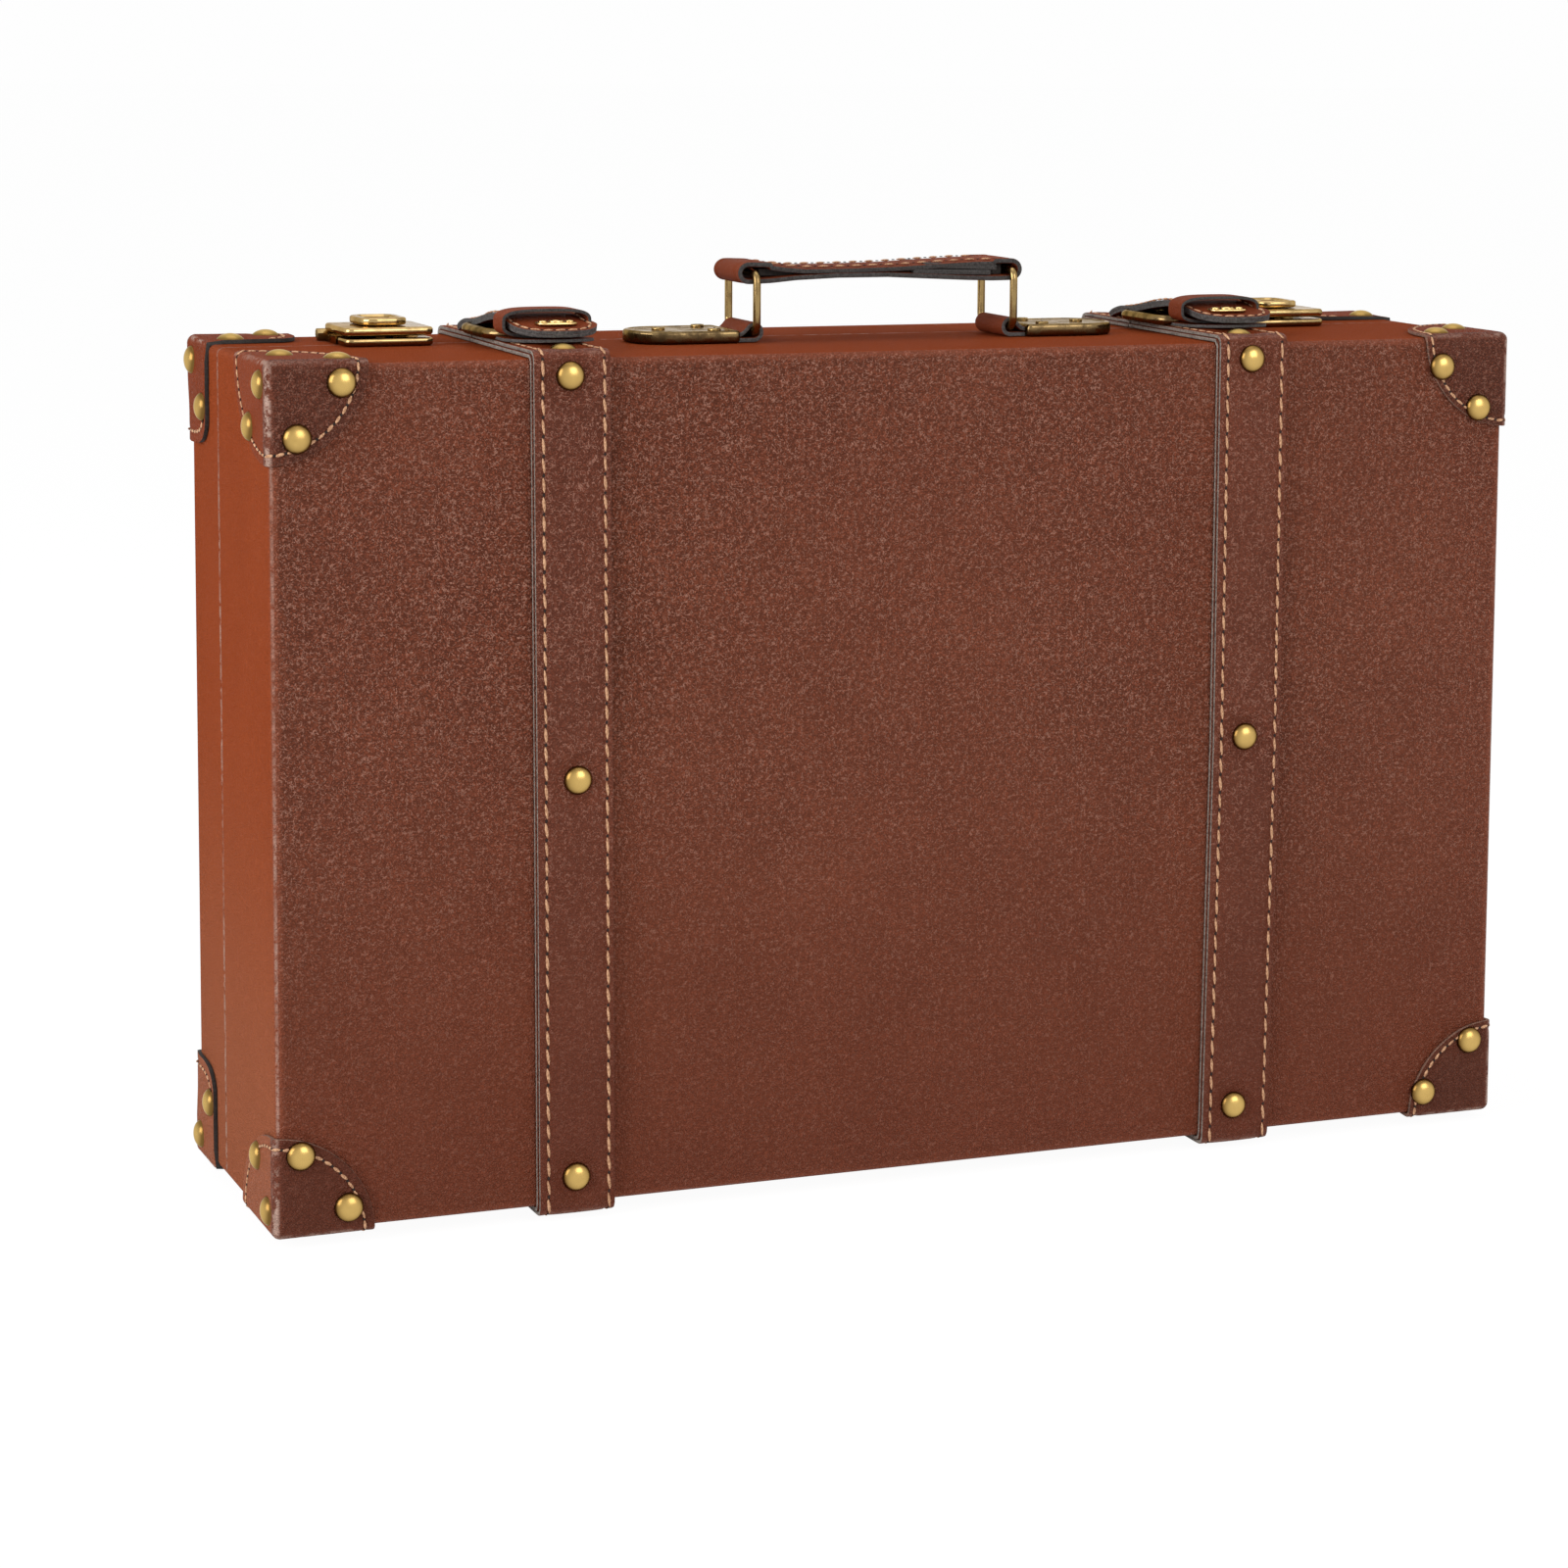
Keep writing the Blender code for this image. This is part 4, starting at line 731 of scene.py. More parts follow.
def finish_piece(piece, name, materials=(), angle=40):
    """Names a piece, gives it its finishes and smooths it up to an angle."""
    piece.name = piece.data.name = name
    for material in materials:
        piece.data.materials.append(material)
    select_only(piece)
    bpy.ops.object.shade_smooth_by_angle(angle=math.radians(angle))
    return piece


def thicken(piece, thickness, finishes, bevel=0.0004):
    """Gives a sheet its thickness, with the second finish on its cut edge."""
    for finish in finishes:
        piece.data.materials.append(finish)
    apply_modifier(piece, "SOLIDIFY", thickness=thickness, offset=-1.0, use_even_offset=True,
                   material_offset_rim=1)
    apply_modifier(piece, "BEVEL", width=bevel, segments=2, limit_method="ANGLE",
                   angle_limit=math.radians(50))


def dress(body, node_name, *pieces):
    """The first piece stands for a node, if one is named, and all of them move with a body."""
    if node_name:
        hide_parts(node_name)
    for piece in pieces:
        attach(piece, body)


print("piece helpers ready")

# %% Bands on a line
def grid(columns, rows):
    """A flat grid of points to be laid out by code, column by column and row by row."""
    bpy.ops.object.select_all(action="DESELECT")
    bpy.ops.mesh.primitive_grid_add(x_subdivisions=columns - 1, y_subdivisions=rows - 1, size=1)
    return bpy.context.object


def flat_band(shares, line, width, lift=None, centre=0.0):
    """A sheet along a line. Its width and centre may change on the way, and lift raises points."""
    piece = grid(len(shares), len(line))
    points = piece.data.vertices
    along = 0.0
    for row, (place, normal) in enumerate(zip(line, line_normals(line))):
        if row:
            along += (line[row] - line[row - 1]).length
        half = width(along) / 2 if callable(width) else width / 2
        middle = centre(along) if callable(centre) else centre
        for column, share in enumerate(shares):
            x = middle + share * half
            height = lift(x, place, share, along) if lift else 0.0
            points[row * len(shares) + column].co = (x, *(place + normal * height))
    return piece


def band(name, shares, line, width, thickness, finishes, lift=None, centre=0.0, bevel=0.0004):
    """A band of leather: sheet, thickness, softened edges and finish."""
    piece = flat_band(shares, line, width, lift, centre)
    thicken(piece, thickness, finishes, bevel)
    return finish_piece(piece, name)


def turned_band(name, shares, line, width, thickness, finishes, closed=False, lift=None,
                centre=0.0):
    """A band along a line (x, z), its width along Y. The line runs clockwise round its piece."""
    piece = flat_band(shares, line, width, lift, centre)
    for vertex in piece.data.vertices:
        across, x, z = vertex.co
        vertex.co = (x, across, z)
    piece.data.flip_normals()
    if closed:
        select_only(piece)
        start_edit()
        bpy.ops.mesh.remove_doubles(threshold=0.00002)
        end_edit()
    thicken(piece, thickness, finishes)
    return finish_piece(piece, name)


print("band helpers ready")

# %% [markdown]
# ## Stitches
# A saddle stitch is a short, slightly plump length of thread that dips into the leather at both
# ends. It is made once, from a small sphere pulled long and pressed flat, and then copied along a
# line. A dark blob of painted shade marks the needle hole between every two stitches.

# %% One stitch and one needle hole
def template(make):
    """The mesh of a shape made at the origin, kept as a template to copy."""
    bpy.ops.object.select_all(action="DESELECT")
    make()
    shape = bpy.context.object
    bpy.ops.object.transform_apply(location=False, rotation=False, scale=True)
    mesh = shape.data
    bpy.data.objects.remove(shape)
    return mesh


stitch_length, stitch_width, stitch_height = 0.0062, 0.00150, 0.00098
stitch_shape = template(lambda: bpy.ops.mesh.primitive_uv_sphere_add(
    segments=6, ring_count=6, radius=0.5))
for vertex in stitch_shape.vertices:
    x, y, z = vertex.co
    fullness = 1 - abs(2 * z) ** 3 * 0.35
    vertex.co = (z * stitch_length, x * stitch_width * fullness, y * stitch_height * fullness)
hole_shape = template(lambda: bpy.ops.mesh.primitive_uv_sphere_add(
    segments=6, ring_count=4, radius=0.0006, scale=(1.5, 1.1, 0.4)))
print("a stitch has", len(stitch_shape.polygons), "faces")

# %% Copies of a shape
def add_copy(mesh, shape, place, material_index=0):
    """Adds a copy of a template's mesh to a bmesh, at a place."""
    first_vertex, first_face = len(mesh.verts), len(mesh.faces)
    mesh.from_mesh(shape)
    mesh.verts.ensure_lookup_table()
    mesh.faces.ensure_lookup_table()
    bmesh.ops.transform(mesh, matrix=place, verts=mesh.verts[first_vertex:])
    for face in mesh.faces[first_face:]:
        face.material_index = material_index
        face.smooth = True


def facing(along, normal, centre):
    """A matrix whose X runs along a direction and whose Z is a normal."""
    z = Vector(normal).normalized()
    x = (Vector(along) - z * Vector(along).dot(z)).normalized()
    return Matrix.Translation(centre) @ Matrix((x, z.cross(x), z)).transposed().to_4x4()


def piece_of(name, mesh, *materials):
    """An object at the origin from a bmesh."""
    data = bpy.data.meshes.new(name)
    mesh.to_mesh(data)
    mesh.free()
    for material in materials:
        data.materials.append(material)
    piece = bpy.data.objects.new(name, data)
    scene.collection.objects.link(piece)
    return piece


def stitches(name, path, pitch=0.0085, length=None, slant=0.10, seed=1, skip=()):
    """Stitches and needle holes along a path of (point, normal), away from the places in skip."""
    chance = random.Random(seed)
    points = [Vector(point) for point, _ in path]
    lengths = leg_lengths(points)
    total = sum(lengths)
    count = max(1, round(total / pitch))
    stretch = (length or 0.87 * total / count) / stitch_length
    mesh = bmesh.new()
    for number in range(count * 2 + 1):
        leg, share = walk(lengths, total * number / (2 * count))
        point = points[leg].lerp(points[leg + 1], share)
        normal = Vector(path[leg][1]).lerp(Vector(path[leg + 1][1]), share)
        if any((point - Vector(place)).length < reach for place, reach in skip):
            continue
        place = facing(points[leg + 1] - points[leg], normal, point)
        if number % 2:
            turn = Matrix.Rotation(slant + chance.uniform(-0.05, 0.05), 4, "Z")
            size = Matrix.Diagonal((stretch * chance.uniform(0.92, 1.05),
                                    chance.uniform(0.9, 1.15), 1, 1))
            add_copy(mesh, stitch_shape, place @ turn @ size)
        else:
            add_copy(mesh, hole_shape, place, 1)
    return piece_of(name, mesh, thread, needle_hole_shade)


print("stitches ready")

# %% [markdown]
# ## Dome nails
# A dome nail is a shallow brass cap with a thin turned-down lip. Half a sphere is pressed flat, and
# its lower ring is drawn down and in for the lip. The hammer sets a nail deeper or shallower, but
# the feet under the case stand their full height.

# %% The nail
nail_radius = 0.0065
nail_flatness = 0.60
lip_step = (0, 0, -0.0003)


def draw_nail():
    bpy.ops.mesh.primitive_uv_sphere_add(segments=28, ring_count=18, radius=nail_radius)
    start_edit()
    bpy.ops.mesh.bisect(plane_co=(0, 0, 0.0002), plane_no=(0, 0, 1), clear_inner=True)
    bpy.ops.mesh.select_all(action="SELECT")
    bpy.ops.transform.resize(value=(1, 1, nail_flatness), center_override=(0, 0, 0))
    bpy.ops.mesh.select_mode(type="EDGE")
    bpy.ops.mesh.select_all(action="DESELECT")
    bpy.ops.mesh.select_non_manifold()
    for _ in range(2):
        bpy.ops.mesh.extrude_region_move(TRANSFORM_OT_translate={"value": lip_step})
    bpy.ops.transform.resize(value=(0.93, 0.93, 1))
    bpy.ops.mesh.edge_face_add()
    end_edit()
    vertices = bpy.context.object.data.vertices
    low = min(vertex.co.z for vertex in vertices)
    for vertex in vertices:
        vertex.co.z -= low


nail_shape = template(draw_nail)
print("a nail is", round(max(vertex.co.z for vertex in nail_shape.vertices), 4), "m high")

# %% Rows of nails
sink_depths = (0.0012, 0.0005, 0.0021)


def nails(name, places, seed=1, sink=1.0):
    """Nails at (point, normal), each turned a little, sunk by how its face is struck."""
    chance = random.Random(seed)
    mesh = bmesh.new()
    seats = []
    for point, normal in places:
        normal = Vector(normal)
        axis = max(range(3), key=lambda index: abs(normal[index]))
        depth = 0 if normal.z < -0.5 else sink_depths[axis] * sink
        seats.append((Vector(point) - normal * depth, normal))
        side = Vector((1, 0, 0)) if axis == 2 else Vector((0, 0, 1))
        lean = Matrix.Rotation(chance.uniform(-0.03, 0.03), 4, "X")
        turn = Matrix.Rotation(chance.uniform(0, 6.28), 4, "Z")
        add_copy(mesh, nail_shape, facing(side, normal, seats[-1][0]) @ lean @ turn)
    piece = piece_of(name, mesh, nail_gold)
    height = piece.data.attributes.new("height", "FLOAT", "POINT")
    for number, vertex in enumerate(piece.data.vertices):
        point, normal = seats[number // len(nail_shape.vertices)]
        height.data[number].value = (vertex.co - point).dot(normal)
    return finish_piece(piece, name, angle=50)


print("nails sink by", sink_depths, "into the ends, the panels and the top")

# %% [markdown]
# ## Strap stitching, layers and dimples
# Each strap is two layers of leather glued and stitched 4 mm inside their edges. The outer layer is
# a little puffed between the seams, drawn down along them, and pressed into a dish under each nail.
# The base's strap starts near the parting under the case, runs up the front and ends at the parting
# on top. The lid's strap runs from there down the back.

# %% The straps' lines and nails
strap_width = 0.0360
strap_trim = 0.0012
layer_step = 0.0019
outer_bend, inner_bend = 0.0052, 0.0036
outer_thickness, inner_thickness = 0.0017, 0.0016
seam_offset = 0.0140
seam_share = 0.778
seam_shares = [0.72, 0.76, 0.795, 0.82, 0.87, 0.955, 1]
strap_shares = ([-share for share in reversed(seam_shares)]
                + [-0.60, -0.45, -0.30, -0.15, 0, 0.15, 0.30, 0.45, 0.60] + seam_shares)
nail_seat = 0.0021
strap_nail_shifts = {-1: (-0.0022, 0.0010, 0.0), 1: (-0.0017, -0.0021, -0.0046)}
low_nail_rise = {-1: 0.0130, 1: 0.0142}
strap_leans = {("base", -1): (0.0008, 0.0, -0.0012), ("base", 1): (-0.0035, -0.0009, -0.0008)}


def strap_corners(body, height):
    """The strap's line in side view, at a height above the case's faces."""
    if body == "base":
        return [(parting_y - 0.0065, bottom_z - height), (front_y - height, bottom_z - height),
                (front_y - height, top_z + height), (parting_y - 0.0008, top_z + height)]
    return [(parting_y + 0.0008, top_z + height), (back_y + height, top_z + height),
            (back_y + height, bottom_z - height), (parting_y + 0.0065, bottom_z - height)]


def strap_nail_places(body, side):
    """The strap's nails as (point, normal), seated in their dishes. They were set one by one."""
    face, out = (front_y, -1) if body == "base" else (back_y, 1)
    x, inside = side * strap_x, face - out * 0.0160
    heights = (top_z - 0.0075, bottom_z + 0.1920, bottom_z + low_nail_rise[side])
    places = [(Vector((x + shift, face + out * nail_seat, z)), (0, out, 0))
              for shift, z in zip(strap_nail_shifts[side], heights)]
    if body == "base":
        places.append((Vector((x, inside, top_z + nail_seat)), (0, 0, 1)))
    places.append((Vector((x, inside, bottom_z - nail_seat)), (0, 0, -1)))
    return places


def strap_lean(body, side, place):
    """How far the strap wanders sideways, by how far it does at its foot, middle and top."""
    foot, middle, top = strap_leans.get((body, side), (0.0, 0.0, 0.0))
    height = clamp((place.y - bottom_z) / (top_z - bottom_z)) * 2
    if height < 1:
        shift = foot + (middle - foot) * height
    else:
        shift = middle + (top - middle) * (height - 1)
    return shift * clamp((parting_y - place.x) / 0.060)


print("a strap of the base has", len(strap_nail_places("base", 1)), "nails")

# %% Straps
def seam_lift(share, depth=0.00040, puff=0.00030):
    """How far a strap's surface stands up or dips across its width."""
    return puff * (1 - share * share) - depth * groove(abs(share) - seam_share, 0.045)


def dish(point, places, reach=0.0150, depth=0.0019):
    """How far the leather dips at a point because of nails nearby."""
    dip = 0.0
    for place, _ in places:
        near = 1 - (point - place).length / reach
        if near > 0:
            dip = max(dip, depth * min(1.0, near * 2.1) ** 1.5)
    return dip


def path_on(line, x, height, lean):
    """Points and normals along a band at one place across it, for stitches."""
    return [((x + lean(place), *(place + normal * height)), (0, normal.x, normal.y))
            for place, normal in zip(line, line_normals(line))]


def make_strap(body, side_name, side):
    """One strap: its two layers, two seams and nails."""
    name = f"{body}_strap_{side_name}"
    places = strap_nail_places(body, side)
    middle = side * strap_x
    outer_line = rounded_line(strap_corners(body, strap_stands), outer_bend, 0.0026)
    inner_line = rounded_line(strap_corners(body, strap_stands - layer_step), inner_bend, 0.0040)
    width = strap_width - strap_trim

    def surface(x, place, share, along):
        return seam_lift(share) - dish(Vector((x, *place)), places)

    def lean(place):
        return strap_lean(body, side, place)

    def centre(line, shift):
        return lambda along: middle - strap_trim / 2 + shift + lean(at_length(line, along)[0])

    top_layer = band(name + "_top_layer", strap_shares, outer_line, width, outer_thickness,
                     (strap_leather, strap_edge), surface, centre(outer_line, 0.0))
    under_layer = band(name + "_under_layer", [-1, 0, 1], inner_line, width + 0.0008,
                       inner_thickness, (strap_leather, strap_edge), None,
                       centre(inner_line, -0.0003), bevel=0.0003)
    seams = [stitches(f"{name}_seam_{number}", path_on(outer_line, middle + shift, -0.0001, lean),
                      seed=number + 3 * side)
             for number, shift in enumerate((-seam_offset, seam_offset))]
    heads = nails(name + "_nails", places, seed=5 + side, sink=0.6)
    dress(body, name, top_layer, under_layer, heads, *seams)


for side_name, side in sides:
    for body in ("base", "lid"):
        make_strap(body, side_name, side)

# %% [markdown]
# ## Corner protectors
# A protector is three stitched lobes of leather folded over a corner and nailed to each face. Each
# lobe is a grid whose rows run out from the corner, and its points are pushed onto a box with
# rounded edges, so that the folds come out soft. The lid's protectors are cut straight along the
# parting, which shows their thick edge.

# %% One corner of the case
fold_radius = 0.0037
protector_thickness = 0.0018
lid_cut = 0.0360
nail_clearance = 0.0058
lobe_axes = ((0, 1), (1, 2), (2, 0))
lobe_turns = [0, 1.3, 2.7, 4.4, 7, 11, 16, 22, 28, 34, 40, 45, 50, 56, 62, 68, 74, 79, 83, 85.6,
              87.3, 88.7, 90]
lobe_rings = [0.0, 0.03, 0.06, 0.09, 0.13, 0.18, 0.24, 0.31, 0.38, 0.45, 0.52, 0.59, 0.66, 0.73,
              0.79, 0.84, 0.875, 0.90, 0.93, 0.97, 1.0]
lobe_reaches = {"base": (0.0430, 0.0570, 0.0430), "lid": (0.0430, 0.0390, 0.0460)}
hidden_nails = ((0.0320, 0.0095), (0.0115, 0.0330))
front_nails = {(-1, 1): ((0.0310, 0.0080), (0.0115, 0.0315)),
               (1, 1): ((0.0346, 0.0136), (0.0146, 0.0336)),
               (-1, -1): ((0.0313, 0.0100), (0.0103, 0.0348)),
               (1, -1): ((0.0357, 0.0107), (0.0108, 0.0342))}


class Corner:
    """One corner of the case, with its own axes that run along the edges into the case."""

    def __init__(self, body, side, up):
        self.body, self.side, self.up = body, side, up
        self.out = -1 if body == "base" else 1
        self.origin = Vector((side * half_length, front_y if body == "base" else back_y,
                              top_z if up > 0 else bottom_z))
        self.reaches = lobe_reaches[body]

    def turned(self, own):
        """A direction from the corner's own axes to the scene's."""
        return Vector((-self.side * own[0], -self.out * own[1], -self.up * own[2]))

    def on_lobe(self, across, along, turn, ring, lift=0.0):
        """A point and normal, at a turn from one fold to the other and a share of the reach."""
        squarer = self.body == "lid" and 1 in (across, along)
        power = 0.4 if squarer else 1.0
        angle = math.radians(turn)
        flat = Vector((0, 0, 0))
        flat[across] = ring * (self.reaches[across] + skin) * max(math.cos(angle), 0.0) ** power
        flat[along] = ring * (self.reaches[along] + skin) * max(math.sin(angle), 0.0) ** power
        inner = Vector([max(value, fold_radius) for value in flat])
        outward = (flat - inner).normalized()
        own = inner + outward * (fold_radius + lift) - Vector((skin, skin, skin))
        return self.origin + self.turned(own), self.turned(outward)

    def nails(self):
        """(point, normal) of its six nails: two on each face."""
        pair = front_nails[self.side, self.up] if self.body == "base" else hidden_nails
        own = [((x, -skin, z), (0, -1, 0)) for x, z in pair]
        own += [((-skin, reach, reach), (-1, 0, 0)) for reach in (0.0088, 0.0285)]
        far_y = 0.0095 if self.up > 0 else 0.0250
        own += [((x, y, -skin), (0, 0, -1)) for x, y in ((0.0320, far_y), (0.0115, 0.0285))]
        return [(self.origin + self.turned(point), self.turned(normal)) for point, normal in own]


print("a protector has", len(Corner("base", 1, 1).nails()), "nails")

# %% Protectors
def lobe(corner, across, along, places):
    """One lobe's sheet: puffed in the middle, drawn in along its seam, dished at its nails."""
    piece = grid(len(lobe_turns), len(lobe_rings))
    for row, ring in enumerate(lobe_rings):
        for column, turn in enumerate(lobe_turns):
            point, normal = corner.on_lobe(across, along, turn, ring)
            rise = math.sin(math.pi * min(ring / 0.88, 1.0)) * math.sin(math.radians(2 * turn))
            lift = (0.00030 * rise - 0.00035 * groove(ring - 0.90, 0.022)
                    - dish(point, places, 0.0100, 0.0004))
            piece.data.vertices[row * len(lobe_turns) + column].co = point + normal * lift
    return piece


def protector(corner, name, places):
    """The three lobes joined, cut on the lid's side, thickened and softened."""
    pieces = [lobe(corner, across, along, places) for across, along in lobe_axes]
    piece = pieces[0]
    select_only(*pieces)
    bpy.ops.object.join()
    start_edit()
    bpy.ops.mesh.remove_doubles(threshold=0.00002)
    if corner.body == "lid":
        bpy.ops.mesh.bisect(plane_co=(0, back_y - lid_cut, 0), plane_no=(0, -1, 0),
                            clear_outer=True)
        bpy.ops.mesh.select_all(action="SELECT")
    bpy.ops.mesh.normals_make_consistent(inside=False)
    end_edit()
    middle = Vector((0, 0, (top_z + bottom_z) / 2))
    if sum((face.center - middle).dot(face.normal) for face in piece.data.polygons) < 0:
        piece.data.flip_normals()
    # On the lid the cut edge is black: partly its own dark edge, partly painted shade of the gap at
    # the parting.
    edge_finish = corner_edge if corner.body == "base" else black_edge_and_shade
    thicken(piece, protector_thickness, (corner_leather, edge_finish))
    return finish_piece(piece, name, angle=50)


def lobe_seam(corner):
    """The seam's path round the lobes, a few millimetres inside their edges."""
    ring = 0.94 if corner.side > 0 and corner.body == "base" else 0.90
    path = [corner.on_lobe(across, along, turn, ring, -0.0001)
            for across, along in lobe_axes for turn in range(0, 91, 3)]
    return [(point, normal) for point, normal in path
            if corner.body == "base" or abs(point.y - back_y) < lid_cut - 0.0030]


for body in ("base", "lid"):
    for up_name, up in (("top", 1), ("bottom", -1)):
        for side_name, side in sides:
            name = f"{body}_protector_{up_name}_{side_name}"
            corner = Corner(body, side, up)
            places = corner.nails()
            leather_piece = protector(corner, name + "_leather", places)
            heads = nails(name + "_nails", places, seed=side + 2 * up)
            seam = stitches(name + "_seam", lobe_seam(corner), pitch=0.0049, seed=side + 4 * up,
                            skip=[(place, nail_clearance) for place, _ in places])
            dress(body, name, leather_piece, heads, seam)

# %% [markdown]
# ## Strap closures
# On top, each strap ends in a flap: a tail of two glued layers runs from its crease over the
# buckle frame, through a keeper loop, to a rounded, stitched tip. Another layer lies under it, and
# a slot lets the buckle's prong come through. The tail and the layer are bands whose rows narrow
# towards the tip, and the keeper is a band along a rounded loop.

# %% The tail's shape
tail_width = 0.0395
tail_radius = 0.0150
tail_shift = 0.0020
skin_thickness, backing_thickness = 0.0015, 0.0014
layer_width, layer_radius = 0.0375, 0.0140
slot_half, slot_start, slot_end = 0.0023, 0.0990, 0.1120
tail_top = [(0.0220, 0.0102), (0.0280, 0.0112), (0.0340, 0.0124), (0.0460, 0.0153),
            (0.0560, 0.0168), (0.0660, 0.0163), (0.0820, 0.0140), (0.0980, 0.0114),
            (0.1070, 0.0104), (0.1140, 0.0091), (0.1190, 0.0076), (0.1220, 0.0060)]
layer_top = [(0.0245, 0.0064), (0.0400, 0.0059), (0.0540, 0.0058), (0.0640, 0.0060),
             (0.0800, 0.0066), (0.0990, 0.0074)]


def over_top(stations, step):
    """A soft line through (from front, above top) stations."""
    return smooth_curve([(from_front(y), above_top(z)) for y, z in stations], step)


def tip_width(width, radius):
    """The width along a band whose first end is rounded."""
    def at(along):
        near = max(radius - along, 0.0)
        return width - 2 * (radius - math.sqrt(max(radius ** 2 - near ** 2, 0.0)))
    return at


def in_keeper(along):
    """1 where the tail passes its keeper and 0 away from it, with soft ends."""
    share = min(clamp((along - 0.011) / 0.009), clamp((0.066 - along) / 0.016))
    return share * share * (3 - 2 * share)


def tail_centre(side):
    """The tail's middle. The keeper holds it to the left, and the right tip leans to the right."""
    lean = 0.070 if side > 0 else 0.0
    return lambda along: (side * strap_x + tail_shift + max(0.062 - along, 0.0) * lean
                          - 0.0020 * in_keeper(along))


def pinched(width):
    """A width that is a little less in the keeper."""
    return lambda along: width(along) - 0.0022 * in_keeper(along)


def tip_seam(line, centre, width, radius, inset, run, height):
    """A seam's path round a rounded tip: up one side, round the front and down the other."""
    flat = [(inset - width / 2, run - (run - radius) * number / 30) for number in range(31)]
    flat += arc((radius - width / 2, radius), (radius - inset, inset - radius), 180, 90, 15)[1:]
    flat += [(-x, along) for x, along in reversed(flat)]
    path = []
    for x, along in flat:
        place, normal = at_length(line, max(along, 0.0))
        path.append(((centre(along) + x, *(place + normal * height)), (0, normal.x, normal.y)))
    return path


tail_line = over_top(tail_top, 0.0013)
layer_line = over_top(layer_top, 0.0020)
print("the tail is", round(sum(leg_lengths(tail_line)), 4), "m long")

# %% Tails and layers
slot_left, slot_right = ((edge - tail_shift) / (tail_width / 2) for edge in (-0.0022, 0.0022))
tail_shares = [-1, -0.975, -0.92, -0.88, -0.84, -0.80, -0.74, -0.60, -0.42, slot_left, slot_right,
               0.20, 0.42, 0.60, 0.74, 0.80, 0.84, 0.88, 0.92, 0.975, 1]


def cut_slot(piece, low, high):
    """Cuts the prong's slot out of a sheet, between two corners seen from above."""
    select_only(piece)
    start_edit("FACE", "DESELECT")
    end_edit()
    for face in piece.data.polygons:
        x, y, _ = face.center
        face.select = low[0] < x < high[0] and low[1] < y < high[1]
    bpy.ops.object.mode_set(mode="EDIT")
    bpy.ops.mesh.delete(type="FACE")
    end_edit()


def tail_crown(share, along):
    """How far the tail bows down at its sides: over its hump, and not at its flat ends."""
    return 0.0009 * share ** 2 * clamp((along - 0.026) / 0.015) * clamp((0.088 - along) / 0.015)


for side_name, side in sides:
    centre = tail_centre(side)
    width = pinched(tip_width(tail_width, tail_radius))
    backing_width = pinched(tip_width(tail_width - 0.0003, tail_radius))
    slot_low = (side * strap_x - slot_half, from_front(slot_start))
    slot_high = (side * strap_x + slot_half, from_front(slot_end))

    def tail_surface(x, place, share, along):
        to_edge = min((1 - abs(share)) * width(along) / 2, along + 0.0002)
        puff = 0.0003 * min(to_edge / 0.012, 1)
        return puff - tail_crown(share, along) - 0.0005 * groove(to_edge - 0.0030, 0.0010)

    def make_tail(name, line, across, thickness, lift):
        piece = flat_band(tail_shares, line, across, lift, centre)
        cut_slot(piece, slot_low, slot_high)
        thicken(piece, thickness, (tan_leather, cut_edge), 0.00035)
        return finish_piece(piece, name)

    name = f"strap_tail_{side_name}"
    tail = make_tail(name + "_skin", tail_line, width, skin_thickness, tail_surface)
    backing_line = [place - normal * (skin_thickness + 0.00005)
                    for place, normal in zip(tail_line, line_normals(tail_line))]
    backing = make_tail(name + "_backing", backing_line, backing_width, backing_thickness,
                        lambda x, place, share, along: -tail_crown(share, along))
    layer = band(f"flap_layer_{side_name}_leather", [-1, -0.8, -0.4, 0, 0.4, 0.8, 1], layer_line,
                 tip_width(layer_width, layer_radius), skin_thickness, (strap_leather, cut_edge),
                 None, centre, bevel=0.0003)
    seam_path = tip_seam(tail_line, centre, tail_width, tail_radius, 0.0030, 0.0900, -0.0002)
    seam = stitches(name + "_seam", seam_path, pitch=0.0056, seed=31 + side)
    dress(f"closure_flap_{side_name}", name, tail, backing, seam)
    dress(f"closure_flap_{side_name}", f"flap_layer_{side_name}", layer)
print("tails ready")

# %% [markdown]
# ## Keeper loops, tabs and the grip
# These bands run along a line seen from the front, so the same sheet is made and then turned a
# quarter round: its width then lies along Y. The keeper is a closed loop. The handle's grip is one
# long loop too, pressed flat in the middle, with a space at each end for its ring. Two dark filler
# layers lie between its halves, and two black cores of painted shade fill the hollow inside it.

# %% Keepers and tabs
def rounded_loop(centre, half_width, half_height, roundness=3.4, count=96):
    """A closed clockwise loop (x, z) between an oval and a rectangle."""
    loop = []
    for number in range(count):
        angle = math.pi - math.tau * number / count
        across, up = (math.copysign(abs(value) ** (2 / roundness), value)
                      for value in (math.cos(angle), math.sin(angle)))
        loop.append(Vector((centre[0] + half_width * across, centre[1] + half_height * up)))
    return [*loop, loop[0].copy()]


keeper_shifts = {-1: -0.0010, 1: 0.0004}
keeper_middle, keeper_rise = 0.0430, 0.0127
keeper_width, keeper_thickness = 0.0140, 0.0016
for side_name, side in sides:
    middle = (side * strap_x + keeper_shifts[side], above_top(keeper_rise))
    loop = rounded_loop(middle, half_width=0.0207, half_height=0.0065)
    keeper = turned_band(f"keeper_loop_{side_name}_leather", [-1, -0.8, -0.3, 0.3, 0.8, 1], loop,
                         keeper_width, keeper_thickness, (tan_leather, dark_edge_and_hole_shade), closed=True,
                         centre=from_front(keeper_middle))
    dress(f"closure_flap_{side_name}", f"keeper_loop_{side_name}", keeper)

